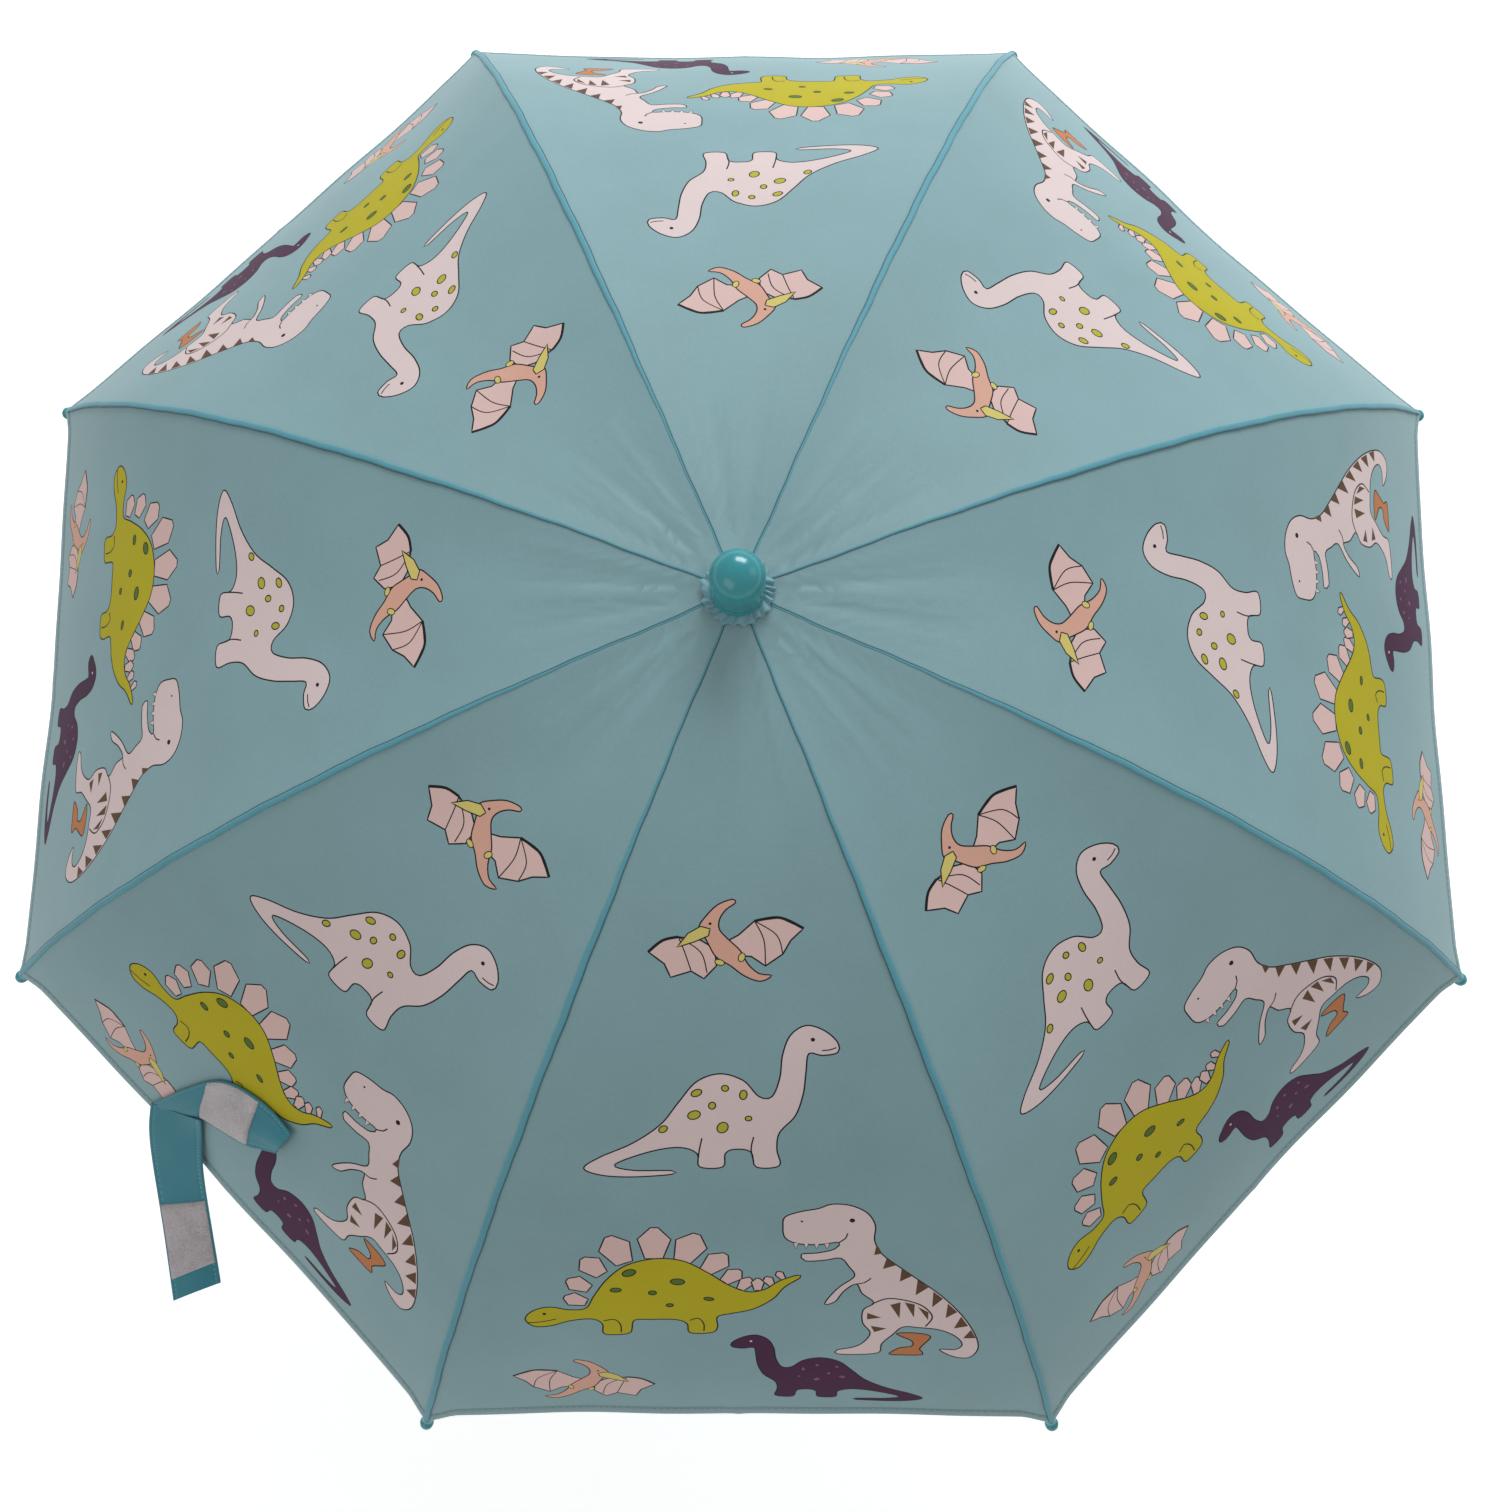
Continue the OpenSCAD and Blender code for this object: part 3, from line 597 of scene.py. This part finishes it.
canopy_pieces = []
for k in range(8):
    phi = (rib_az[k] + 22.5)
    seed = 0.7 + 1.9 * k
    ka, kb = k + 1, (k + 1) % 8 + 1          # rib on the low-azimuth side (X < 0) and on the high side (X > 0)
    for side, rib in ((1, ka), (-1, kb)):
        half = cen[:, 0] < 0 if side == 1 else cen[:, 0] > 0
        for outer in (False, True):
            pick = half & ((cen[:, 1] > FLEX - 12) if outer else (cen[:, 1] < FLEX))
            t = tri[pick]
            used, inv = np.unique(t, return_inverse=True)
            X, S = P2[used, 0], P2[used, 1]
            lift = np.where(S < FLEX - 0.01, -0.45 * smooth((FLEX - S) / 2.5), 0.0) if outer else 0.0
            xyz = canopy_xyz(phi, S, X, lift, seed)
            nrm = canopy_normal(phi, S, X, seed)
            inv = inv.reshape(t.shape)
            nv = len(used)
            es = np.concatenate([inv[:, [0, 1]], inv[:, [1, 2]], inv[:, [2, 0]]])
            have = set(map(tuple, es))
            rim = [(b_, a_, a_ + nv, b_ + nv) for a_, b_ in map(tuple, es) if (b_, a_) not in have]
            faces = inv.tolist() + (inv[:, ::-1] + nv).tolist() + rim
            fmat = np.concatenate([tri_mat[pick], tri_mat[pick] + len(PRINTS), np.zeros(len(rim), int)])
            name = "canopy_%d_%s_%s" % (k + 1, "low" if side == 1 else "high", "outer" if outer else "inner")
            ob = add_mesh(name, np.concatenate([xyz, xyz - nrm * 0.3]), faces, CANOPY_MATS, fmat, uv=np.concatenate([np.stack([X, S], -1)] * 2), normals=np.concatenate([nrm, -nrm]))
            fold(ob)
            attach(ob, ("rod_%d" if outer else "rib_%d") % rib)
            v3 = xyz[inv]
            area = float(np.linalg.norm(np.cross(v3[:, 1] - v3[:, 0], v3[:, 2] - v3[:, 0]), axis=1).sum() / 2) * 1e-6
            ob["_dims"] = (float(np.ptp(X)) * MM, float(np.ptp(S)) * MM, area)
            canopy_pieces.append((ob, k, side, rib, outer))
            if not outer:
                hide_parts("canopy_%d" % rib)
for ob, k, side, rib, outer in canopy_pieces:
    w, l, area = ob["_dims"]
    del ob["_dims"]


# ------------------------------------------------------------------ strips that follow the canopy
def strip(name, path, across_vec, normal, width, height, mats, uvlen, segs=6, flat=0.0):
    """A low welt: path (n,3), across and normal unit vectors (n,3); a half-round of the given width and height."""
    n = len(path)
    prof = []
    for i in range(segs + 1):
        t = math.pi * (1 - i / segs)
        prof.append((math.cos(t) / 2, math.sin(t) ** 0.7 if 0 < i < segs else 0.0, 0.0))
    prof += [(0.5, 0.0, -0.25), (-0.5, 0.0, -0.25)]
    width, height = np.broadcast_to(width, n), np.broadcast_to(height, n)
    m = len(prof)
    verts, uv, faces = [], [], []
    for j in range(n):
        for (a, h, base) in prof:
            a, h = a * width[j], h * height[j] + base
            verts.append(path[j] + across_vec[j] * a + normal[j] * h)
            uv.append((a, uvlen[j]))
    for j in range(n - 1):
        for i in range(m):
            i2 = (i + 1) % m
            faces.append((j * m + i, j * m + i2, (j + 1) * m + i2, (j + 1) * m + i))
    for end in (0, n - 1):
        b = len(verts)
        verts.extend(verts[end * m:end * m + m])
        uv.extend(uv[end * m:end * m + m])
        faces.append(tuple(range(b, b + m))[::-1] if end == 0 else tuple(range(b, b + m)))
    return verts, faces, uv


def orient(verts, faces):
    """Outward-facing copy of a closed mesh's faces, by its signed volume."""
    v = np.asarray(verts)
    vol = 0.0
    for f in faces:
        for i in range(1, len(f) - 1):
            vol += float(np.dot(v[f[0]], np.cross(v[f[i]], v[f[i + 1]])))
    return [tuple(f)[::-1] for f in faces] if vol < 0 else [tuple(f) for f in faces]


for k in range(8):
    az = rib_az[k]
    a = az * D2R
    er, et = np.array([math.cos(a), math.sin(a), 0]), np.array([-math.sin(a), math.cos(a), 0])
    for outer in (False, True):
        s = np.linspace(FLEX - 2.0, 459.0, 60) if outer else np.linspace(4.0, FLEX, 70)
        r, z = rib_pt(s, LIFT + crown(s) + 0.05)
        path = np.outer(r, er)
        path[:, 2] = ZT + z
        sl = slope(s) * D2R
        nrm = np.outer(np.sin(sl), er)
        nrm[:, 2] = np.cos(sl)
        ac = np.repeat(et[None], len(s), 0)
        wob = (0.18 * np.sin(s * 0.11 + k) + 0.10 * np.sin(s * 0.31 + 2 * k))[:, None] * ac
        grow = smooth((s - 45) / 150)
        v1, f1, u1 = strip("", path + wob, ac, nrm, 0.9 + 2.2 * grow, 0.12 + 0.48 * grow, None, s)
        # dark stitched line sunk beside the welt
        # line along the stitching beside the welt, painted dark as the shade of a sunk stitch line; the strip itself
        # stands a little proud of the cloth
        off = (0.55 + 1.15 * grow)[:, None] * (1 if k % 2 else -1)
        v2, f2, u2 = strip("", path + wob + ac * off + nrm * 0.02, ac, nrm, 0.55, 0.16, None, s, 4)
        n1 = len(v1)
        faces = orient(v1, f1) + [tuple(i + n1 for i in f) for f in orient(v2, f2)]
        fm = [0] * len(f1) + [1] * len(f2)
        ob = add_mesh("seam_%d_%s" % (k + 1, "outer" if outer else "inner"), np.array(v1 + v2), faces, [M["seam"], M["groove"]], fm, uv=np.array(u1 + u2))
        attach(ob, ("rod_%d" if outer else "rib_%d") % (k + 1))

# ------------------------------------------------------------------ hem: a folded, stitched edge
for k in range(8):
    phi = rib_az[k] + 22.5
    seed = 0.7 + 1.9 * k
    ka, kb = k + 1, (k + 1) % 8 + 1
    for side, rib in ((1, ka), (-1, kb)):
        v = np.linspace(-1, 0, 44) if side == 1 else np.linspace(0, 1, 44)
        he = hem_s(v)
        verts, faces, uv, fm = [], [], [], []
        # section: outer face from the stitch line to the edge, round the edge, and back underneath
        sect = [(-7.2, -0.05), (-6.6, 0.24), (-3.4, 0.30), (-0.6, 0.28), (0.25, 0.0), (-0.6, -0.62), (-6.8, -0.66)]
        for j in range(len(v)):
            for (ds, h) in sect:
                s = he[j] + ds
                X = v[j] * float(half_width(s))
                verts.append(canopy_xyz(phi, s, X, h, seed))
                uv.append((X, s))
        m = len(sect)
        for j in range(len(v) - 1):
            for i in range(m):
                i2 = (i + 1) % m
                faces.append((j * m + i, j * m + i2, (j + 1) * m + i2, (j + 1) * m + i))
                fm.append(0)
        for end in (0, len(v) - 1):
            b = len(verts)
            verts += [verts[end * m + i].copy() for i in range(m)]
            uv += uv[end * m:end * m + m]
            faces.append(tuple(range(b, b + m))[::-1] if end == 0 else tuple(range(b, b + m)))
            fm.append(0)
        if orient(verts, faces)[0] != tuple(faces[0]):
            faces = [tuple(f)[::-1] for f in faces]
        # stitches: little thread beads 2.6 mm long every 3.4 mm, one row
        w = float(half_width(float(hem_s(0.5))))
        count = int(w / 3.4)
        for q in range(count):
            vc = (q + 0.5) / count
            vc = -1 + vc if side == 1 else vc
            for ds in (-5.9,):
                s0 = float(hem_s(vc)) + ds
                hw = float(half_width(s0))
                x0, x1 = vc * hw - 1.15, vc * hw + 1.15
                if abs(x0) > hw or abs(x1) > hw:
                    continue
                b = len(verts)
                for (xx, ww, hh) in ((x0, 0.05, 0.26), ((x0 + x1) / 2, 0.22, 0.46), (x1, 0.05, 0.26)):
                    for (aa, bb) in ((-ww, 0.20), (0, hh), (ww, 0.20)):
                        verts.append(canopy_xyz(phi, s0 + aa, xx, bb, seed))
                        uv.append((xx, s0 + aa))
                for j in range(2):
                    for i in range(2):
                        f = (b + j * 3 + i, b + j * 3 + i + 1, b + (j + 1) * 3 + i + 1, b + (j + 1) * 3 + i)
                        faces.append(f)
                        fm.append(1)
        V = np.array([np.asarray(x, float).reshape(3) for x in verts])
        ob = add_mesh("hem_%d_%s" % (k + 1, "low" if side == 1 else "high"), V, faces, [M["hem"], M["thread"]], fm, uv=np.array(uv))
        fold(ob)
        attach(ob, "rod_%d" % rib)

# ------------------------------------------------------------------ gathered rosette under the cap
n = 216
verts, faces, uv = [], [], []
rng = np.random.default_rng(11)
jit = rng.uniform(-1, 1, (4, 40))


def pleat(th, t):
    """Height of the pleats, from -1 to 1, at angle th; t from 0 at the middle to 1 at the edge."""
    w = th + 0.10 * math.sin(3 * th + 1.0) + 0.05 * math.sin(7 * th) + 0.22 * t
    up = math.sin(22 * w + 1.3 * math.sin(5 * th))
    return up


for layer in (0, 1):
    for j in range(8):
        t = j / 7
        for i in range(n):
            th = 2 * math.pi * i / n
            up = pleat(th, t)
            rad = 9.0 + t * (7.2 + 0.55 * math.sin(22 * th + 1.0) + 0.45 * math.sin(9 * th + 0.6) + 0.25 * up)
            z = 564.2 + 1.35 - 0.9 * t * t + 0.85 * up * (0.2 + 0.8 * t) - layer * 0.34
            verts.append((rad * math.cos(th), rad * math.sin(th), z))
            uv.append((th * 14, rad))
for layer in (0, 1):
    o = layer * 8 * n
    for j in range(7):
        for i in range(n):
            i2 = (i + 1) % n
            f = (o + j * n + i, o + (j + 1) * n + i, o + (j + 1) * n + i2, o + j * n + i2)
            faces.append(f if layer == 0 else f[::-1])
for j in (0, 7):
    for i in range(n):
        i2 = (i + 1) % n
        f = (j * n + i, j * n + i2, (8 + j) * n + i2, (8 + j) * n + i)
        faces.append(f if j == 0 else f[::-1])
M["pleat"] = fabric("rosette_cloth", (0.165, 0.335, 0.385), weave=1.6, vary=0.14)
ob = add_mesh("rosette_pleats", verts, faces, [M["pleat"]], uv=np.array(uv))
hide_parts("rosette")
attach(ob, "shaft_body")

# ------------------------------------------------------------------ end cap: a moulded bell with a rounded nose and a grooved foot
M["cap"] = moulded("cap_plastic", (0.024, 0.245, 0.275), 0.22, grain=0.03, scale=700, coat=0.15, vary=0.10)
prof = [(4.6, 565.5), (11.6, 565.5), (12.15, 565.8), (12.38, 566.5), (12.38, 567.6), (12.2, 568.1), (11.95, 568.4), (11.85, 568.9), (11.95, 569.4), (12.1, 570.0), (12.2, 572.5), (12.3, 576.0), (12.36, 580.0), (12.38, 584.4)]
for i in range(1, 18):
    t = i / 17 * math.pi / 2
    prof.append((12.38 * math.cos(t), 584.4 + 12.35 * math.sin(t)))
prof[-1] = (0.0, 596.75)
ob = lathe("end_cap", prof, [M["cap"]], n=72)
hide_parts("ferrule_cap")
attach(ob, "shaft_body")


# ------------------------------------------------------------------ closing strap
def panel_frame(phi):
    a = phi * D2R
    return np.array([math.cos(a), math.sin(a), 0]), np.array([-math.sin(a), math.cos(a), 0])


PHI5 = -135.0


def on_panel(X, s, h):
    return canopy_xyz(PHI5, s, X, h, 0.7 + 1.9 * 4)


def unmap(p):
    """(X, s) on the panel between ribs 5 and 6 of a point near it (mm, z from the ground of the frame)."""
    c, t = panel_frame(PHI5)
    X = float(np.dot(p, t))
    lo_, hi_ = 20.0, 480.0
    rad = float(np.dot(p, c))
    for _ in range(40):
        mid = (lo_ + hi_) / 2
        q = canopy_xyz(PHI5, mid, X, 0.5, 0.0)
        if float(np.dot(q, c)) < rad:
            lo_ = mid
        else:
            hi_ = mid
    return X, (lo_ + hi_) / 2


def cloth_strip(name, R, N, thick, mats, face_mat_fn, uvs):
    n_, m_ = R.shape[:2]
    top = R.reshape(-1, 3)
    bot = (R - N * thick).reshape(-1, 3)
    verts = np.concatenate([top, bot])
    T = n_ * m_
    faces, fm = [], []
    for i in range(n_ - 1):
        for j in range(m_ - 1):
            a, b, c_, d = i * m_ + j, (i + 1) * m_ + j, (i + 1) * m_ + j + 1, i * m_ + j + 1
            faces.append((a, b, c_, d))
            fm.append(face_mat_fn(i, j))
            faces.append((T + a, T + d, T + c_, T + b))
            fm.append(0)
    ring = [i * m_ for i in range(n_)] + [(n_ - 1) * m_ + j for j in range(1, m_)] + [i * m_ + m_ - 1 for i in range(n_ - 2, -1, -1)] + [j for j in range(m_ - 2, 0, -1)]
    for a, b in zip(ring, ring[1:] + ring[:1]):
        faces.append((b, a, T + a, T + b))
        fm.append(0)
    uv = np.concatenate([uvs.reshape(-1, 2)] * 2)
    return add_mesh(name, verts, faces, mats, fm, uv=uv)


def bilinear(rows, n_, m_):
    """rows: list of (left, right) corner pairs in any space; n_ x m_ grid along Catmull-Rom edges."""
    def edge(pts_, n__):
        p = np.asarray(pts_, float)
        out = []
        for u in np.linspace(0, len(p) - 1, n__):
            i = min(int(u), len(p) - 2)
            t = u - i
            p0, p1, p2, p3 = p[max(i - 1, 0)], p[i], p[i + 1], p[min(i + 2, len(p) - 1)]
            out.append(0.5 * (2 * p1 + (p2 - p0) * t + (2 * p0 - 5 * p1 + 4 * p2 - p3) * t * t + (3 * p1 - p0 - 3 * p2 + p3) * t ** 3))
        return np.array(out)
    A, B = edge([r[0] for r in rows], n_), edge([r[1] for r in rows], n_)
    w = np.linspace(0, 1, m_)[None, :, None]
    return A[:, None] * (1 - w) + B[:, None] * w


M["strap"] = fabric("strap_cloth", (0.022, 0.180, 0.228), weave=0.8, vary=0.09)
M["strap_thread"] = fabric("strap_stitching", (0.075, 0.27, 0.32), weave=2.0, vary=0.1)


def furry(name, colour, scale, dist):
    m, nt, p = base_material(name, 0.85, Sheen_Weight=0.5, Sheen_Roughness=0.5, Specular_IOR_Level=0.2)
    vec = coords(nt)
    a_ = noise(nt, scale, 5, 0.7, vec)
    b_ = noise(nt, 90, 3, 0.5, vec)
    mix = math_node(nt, "ADD", math_node(nt, "MULTIPLY", a_, 0.7), math_node(nt, "MULTIPLY", b_, 0.3))
    nt.links.new(ramp(nt, mix, [(0.30, tone(colour, 0.60)), (0.5, colour), (0.70, tone(colour, 1.3))]), p.inputs["Base Color"])
    bump(nt, p, a_, 0.9, dist)
    return m


M["loop"] = furry("loop_tape", (0.44, 0.40, 0.41), 900, 0.0009)
M["hook"] = furry("hook_tape", (0.46, 0.42, 0.43), 1100, 0.0008)


def strap_piece(name, grid, thick, mats, fmf):
    n_, m_ = grid.shape[:2]
    du, dv = np.gradient(grid, axis=0), np.gradient(grid, axis=1)
    N = np.cross(dv, du)
    N /= np.linalg.norm(N, axis=-1, keepdims=True) + 1e-9
    if N[..., 2].mean() < 0:
        N = -N
    seg = np.linalg.norm(np.diff(grid[:, m_ // 2], axis=0), axis=1)
    along = np.concatenate([[0], np.cumsum(seg)])
    wid = np.linalg.norm(grid[:, -1] - grid[:, 0], axis=-1).mean()
    uvs = np.stack([np.broadcast_to(np.linspace(0, wid, m_), (n_, m_)), np.broadcast_to(along[:, None], (n_, m_))], -1)
    ob = cloth_strip(name, grid, N, thick, mats, fmf, uvs)
    v = np.array([x.co for x in ob.data.vertices]) / MM
    fs = [tuple(p.vertices) for p in ob.data.polygons]
    if orient(v, fs)[0] != fs[0]:
        ob.data.flip_normals()
    area = float(np.linalg.norm(np.cross(du, dv), axis=-1).mean() * (n_ - 1) * (m_ - 1)) * 1e-6
    return ob, float(wid) * MM, float(along[-1]) * MM, area


# arm lying on the panel, in (X, s); the rows fan about the stitched corner
armA = [((-57.4, 451.8), (-31.0, 422.0)), ((-44.2, 411.7), (-28.4, 419.4)), ((-29.3, 380.7), (-25.8, 417.6)), ((-8.3, 368.0), (-0.7, 403.7)), ((16.6, 364.0), (15.7, 383.8))]
gA = bilinear(armA, 90, 34)
GA = np.empty((90, 34, 3))
for i in range(90):
    for j in range(34):
        X, s = gA[i, j]
        e_ = min(j, 33 - j) / 16
        wv = 1.5 + 0.8 * math.sin(i * 0.087) + 0.5 * math.sin(j * 0.24 + i * 0.047)
        stitch = 0.35 if j in (2, 3, 30, 31) else 0.0
        lift = 1.5 + 1.3 * wv * min(1.0, (e_ + 0.25)) * 0.6 - stitch * 0.8
        if i > 75:
            lift += (i - 75) * 0.17
        GA[i, j] = on_panel(X, s, lift)
strapA, wA, lA, aA = strap_piece("closing_strap_arm", GA, 0.9, [M["strap"], M["strap_thread"]], lambda i, j: 1 if j in (2, 30) and i % 2 else 0)
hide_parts("tie_strap")

GL = [(-307.4, -227.5, 388.6), (-309.6, -240.0, 382.5), (-310.8, -259.0, 371.0), (-309.2, -298.9, 350.0), (-308.6, -334.0, 331.0)]
GR = [(-273.2, -234.9, 412.2), (-275.4, -243.8, 402.0), (-278.9, -261.2, 387.5), (-281.1, -290.5, 362.0), (-280.2, -323.1, 342.0)]
gB = bilinear(list(zip(GL, GR)), 96, 34)
for i in range(96):
    for j in range(34):
        t, u = i / 95, (j - 16.5) / 16.5
        gB[i, j] += np.array([0, 0, 1]) * (0.9 * math.sin(t * 7.5) * t * (1 - u * u * 0.4) + 1.2 * math.cos(u * 2.4) * t + 1.4) + np.array([0, -1, 0]) * (0.4 * math.sin(t * 11 + u))
        if j in (2, 3, 30, 31):
            gB[i, j] -= np.array([0, 0, 0.3])
strapB, wB, lB, aB = strap_piece("closing_strap_tail", gB, 0.9, [M["strap"], M["strap_thread"]], lambda i, j: 1 if j in (2, 30) and i % 2 else 0)


def patch(name, G, i0, i1, j0, j1, mats, seed, h):
    sub = G[i0:i1, j0:j1]
    n_, m_ = (i1 - i0) * 2, (j1 - j0) * 2
    ii, jj = np.linspace(0, i1 - i0 - 1, n_), np.linspace(0, j1 - j0 - 1, m_)
    a0, b0 = np.minimum(ii.astype(int), i1 - i0 - 2), np.minimum(jj.astype(int), j1 - j0 - 2)
    fa, fb = (ii - a0)[:, None, None], (jj - b0)[None, :, None]
    g = (sub[a0][:, b0] * (1 - fa) * (1 - fb) + sub[a0 + 1][:, b0] * fa * (1 - fb) + sub[a0][:, b0 + 1] * (1 - fa) * fb + sub[a0 + 1][:, b0 + 1] * fa * fb)
    r = np.random.default_rng(seed)
    e = np.minimum.outer(np.minimum(np.arange(n_), n_ - 1 - np.arange(n_)), np.full(m_, 99))
    e = np.minimum(e, np.minimum(np.arange(m_), m_ - 1 - np.arange(m_))[None])
    rise = h * np.clip(e / 2.0, 0.1, 1) + r.uniform(-0.12, 0.12, (n_, m_)) * (e > 1)
    du, dv = np.gradient(g, axis=0), np.gradient(g, axis=1)
    N = np.cross(dv, du)
    N /= np.linalg.norm(N, axis=-1, keepdims=True)
    if N[..., 2].mean() < 0:
        N = -N
    return strap_piece(name, g + N * rise[..., None], 1.0, mats, lambda i, j: 0)[0]


hookp = patch("hook_tape_patch", GA, 37, 69, 1, 33, [M["hook"]], 5, 1.3)
loopp = patch("loop_tape_patch", gB, 61, 86, 1, 33, [M["loop"]], 6, 1.4)
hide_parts("strap_hook_patch")
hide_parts("strap_loop_patch")
for ob, s_ in ((strapA, "strap_fabric"), (strapB, "strap_fabric"), (hookp, "hook_and_loop"), (loopp, "hook_and_loop")):
    fold(ob)
    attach(ob, "rod_5")

# ------------------------------------------------------------------ hard parts from the CAD, with their own materials
M["steel_rib"] = metal("rib_channel_steel", (0.50, 0.51, 0.52), 0.30, (1, 1, 1))
M["shaft"] = metal("shaft_plated_steel", (0.60, 0.61, 0.62), 0.20, (8, 8, 0.4))
M["bright"] = metal("bright_trim", (0.68, 0.69, 0.70), 0.16, (1, 1, 30))
M["wire"] = metal("binding_wire", (0.42, 0.42, 0.43), 0.34, (4, 4, 4))
M["spring"] = metal("spring_catch", (0.46, 0.46, 0.48), 0.30, (1, 1, 20))
M["nylon"] = moulded("white_nylon", (0.70, 0.70, 0.68), 0.42, grain=0.06)
M["black"] = moulded("black_runner_nylon", (0.022, 0.022, 0.024), 0.42, grain=0.10, vary=0.25)
M["handle"] = moulded("handle_teal_plastic", (0.030, 0.235, 0.265), 0.26, grain=0.05, coat=0.4, vary=0.10)
M["tip"] = metal("tip_ball_plated", (0.62, 0.63, 0.64), 0.20, (1, 1, 1))
M["teal"] = moulded("tip_teal_plastic", (0.024, 0.235, 0.27), 0.28, grain=0.05, coat=0.3, vary=0.10)
M["rod"] = moulded("fibreglass_rod_black", (0.030, 0.030, 0.032), 0.36, grain=0.12, scale=1400, vary=0.25)


def finish_node(name, mat):
    ob = nodes[name]
    ob.data.materials.clear()
    ob.data.materials.append(mat)
    for p_ in ob.data.polygons:
        p_.material_index = 0


for n_, m_, s_ in (("shaft", "shaft", "shaft_tube"), ("handle", "handle", "handle_plastic"), ("handle_collar", "bright", "bright_metal"), ("top_notch", "nylon", "white_nylon"),
                   ("notch_ring", "wire", "wire"), ("travel_stop", "bright", "wire"), ("top_catch", "spring", "spring_steel"), ("bottom_catch", "spring", "spring_steel"),
                   ("runner", "black", "black_nylon"), ("runner_ring", "wire", "wire")):
    finish_node(n_, M[m_])
for k in range(1, 9):
    finish_node("rib_inner_%d" % k, M["steel_rib"])
    finish_node("rib_outer_%d" % k, M["rod"])
    finish_node("stretcher_%d" % k, M["steel_rib"])
    # tip: a moulded sleeve with a flared collar and a round nose
    pr = [(0.0, -6.0), (1.75, -6.0), (2.05, -5.7), (2.15, -3.0), (2.3, -1.6), (2.9, -0.9), (3.45, -0.3), (3.55, 0.3), (3.35, 0.75), (3.2, 1.0), (3.38, 1.5), (3.3, 2.4), (2.9, 3.5), (2.2, 4.4), (1.2, 4.95), (0.0, 5.1)]
    ob = lathe("rib_tip_%d" % k, pr, [M["teal"]], n=32)
    a_ = rib_az[k - 1] * D2R
    rr_, zz_ = rib_pt(468.0, 0.0)
    ob.matrix_world = Matrix.Translation(Vector((float(rr_) * math.cos(a_), float(rr_) * math.sin(a_), ZT + float(zz_))) * MM) @ Matrix.Rotation(a_, 4, "Z") @ Matrix.Rotation(math.pi / 2 + float(slope(468.0)) * D2R, 4, "Y")
    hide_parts("tip_%d" % k)
    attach(ob, "rod_%d" % k)

# ------------------------------------------------------------------ floor, light, camera
bpy.ops.mesh.primitive_plane_add(size=14, location=(0, 0, -0.0596))
floor = bpy.context.object
floor.name = "floor"
fm_, nt, p = base_material("floor_paper", 0.85)
vec = coords(nt)
nt.links.new(ramp(nt, noise(nt, 3, 3, 0.5, vec), [(0.3, (0.93, 0.93, 0.93)), (0.7, (0.96, 0.96, 0.96))]), p.inputs["Base Color"])
p.inputs["Emission Color"].default_value = (1, 1, 1, 1)
p.inputs["Emission Strength"].default_value = 0.42
floor.data.materials.append(fm_)

world = bpy.data.worlds.new("studio")
bpy.context.scene.world = world
world.use_nodes = True
bg = world.node_tree.nodes["Background"]
bg.inputs["Color"].default_value = (1, 1, 1, 1)
bg.inputs["Strength"].default_value = 0.50


def area_light(name, loc, target, size, power, colour=(1, 1, 1)):
    ld = bpy.data.lights.new(name, "AREA")
    ld.shape = "RECTANGLE"
    ld.size, ld.size_y = size
    ld.energy = power
    ld.color = colour
    lo_ = bpy.data.objects.new(name, ld)
    bpy.context.scene.collection.objects.link(lo_)
    lo_.location = loc
    lo_.rotation_euler = (Vector(target) - Vector(loc)).to_track_quat("-Z", "Y").to_euler()
    return lo_


area_light("key", (0.55, 2.3, 1.9), (0, 0, 0.45), (1.6, 1.0), 62, (0.90, 0.965, 1.0))
area_light("fill", (-1.3, -1.5, 1.9), (0, 0, 0.4), (1.8, 1.2), 9)
area_light("rim", (1.9, 0.5, 1.5), (0, 0, 0.4), (1.0, 1.0), 3)

cam_d = bpy.data.cameras.new("camera")
cam_d.lens, cam_d.sensor_width = 39.31, 36.0
cam = bpy.data.objects.new("camera", cam_d)
bpy.context.scene.collection.objects.link(cam)
rt, up_, bk = Vector((0.99998381, 0.00568973, 0)), Vector((-0.00559425, 0.98320363, 0.1824262)), Vector((0.00103796, -0.18242325, 0.98321955))
rl = 0.21516 * D2R
r2 = rt * math.cos(rl) - up_ * math.sin(rl)
u2 = rt * math.sin(rl) + up_ * math.cos(rl)
cam.matrix_world = Matrix(((r2.x, u2.x, bk.x, 0.00890683), (r2.y, u2.y, bk.y, -0.20547137), (r2.z, u2.z, bk.z, 1.26957868), (0, 0, 0, 1)))
cam_d.clip_start, cam_d.clip_end = 0.01, 60
bpy.context.scene.camera = cam
bpy.context.scene.view_settings.view_transform = "Standard"
bpy.context.scene.view_settings.look = "None"
bpy.context.scene.view_settings.exposure = 0.0
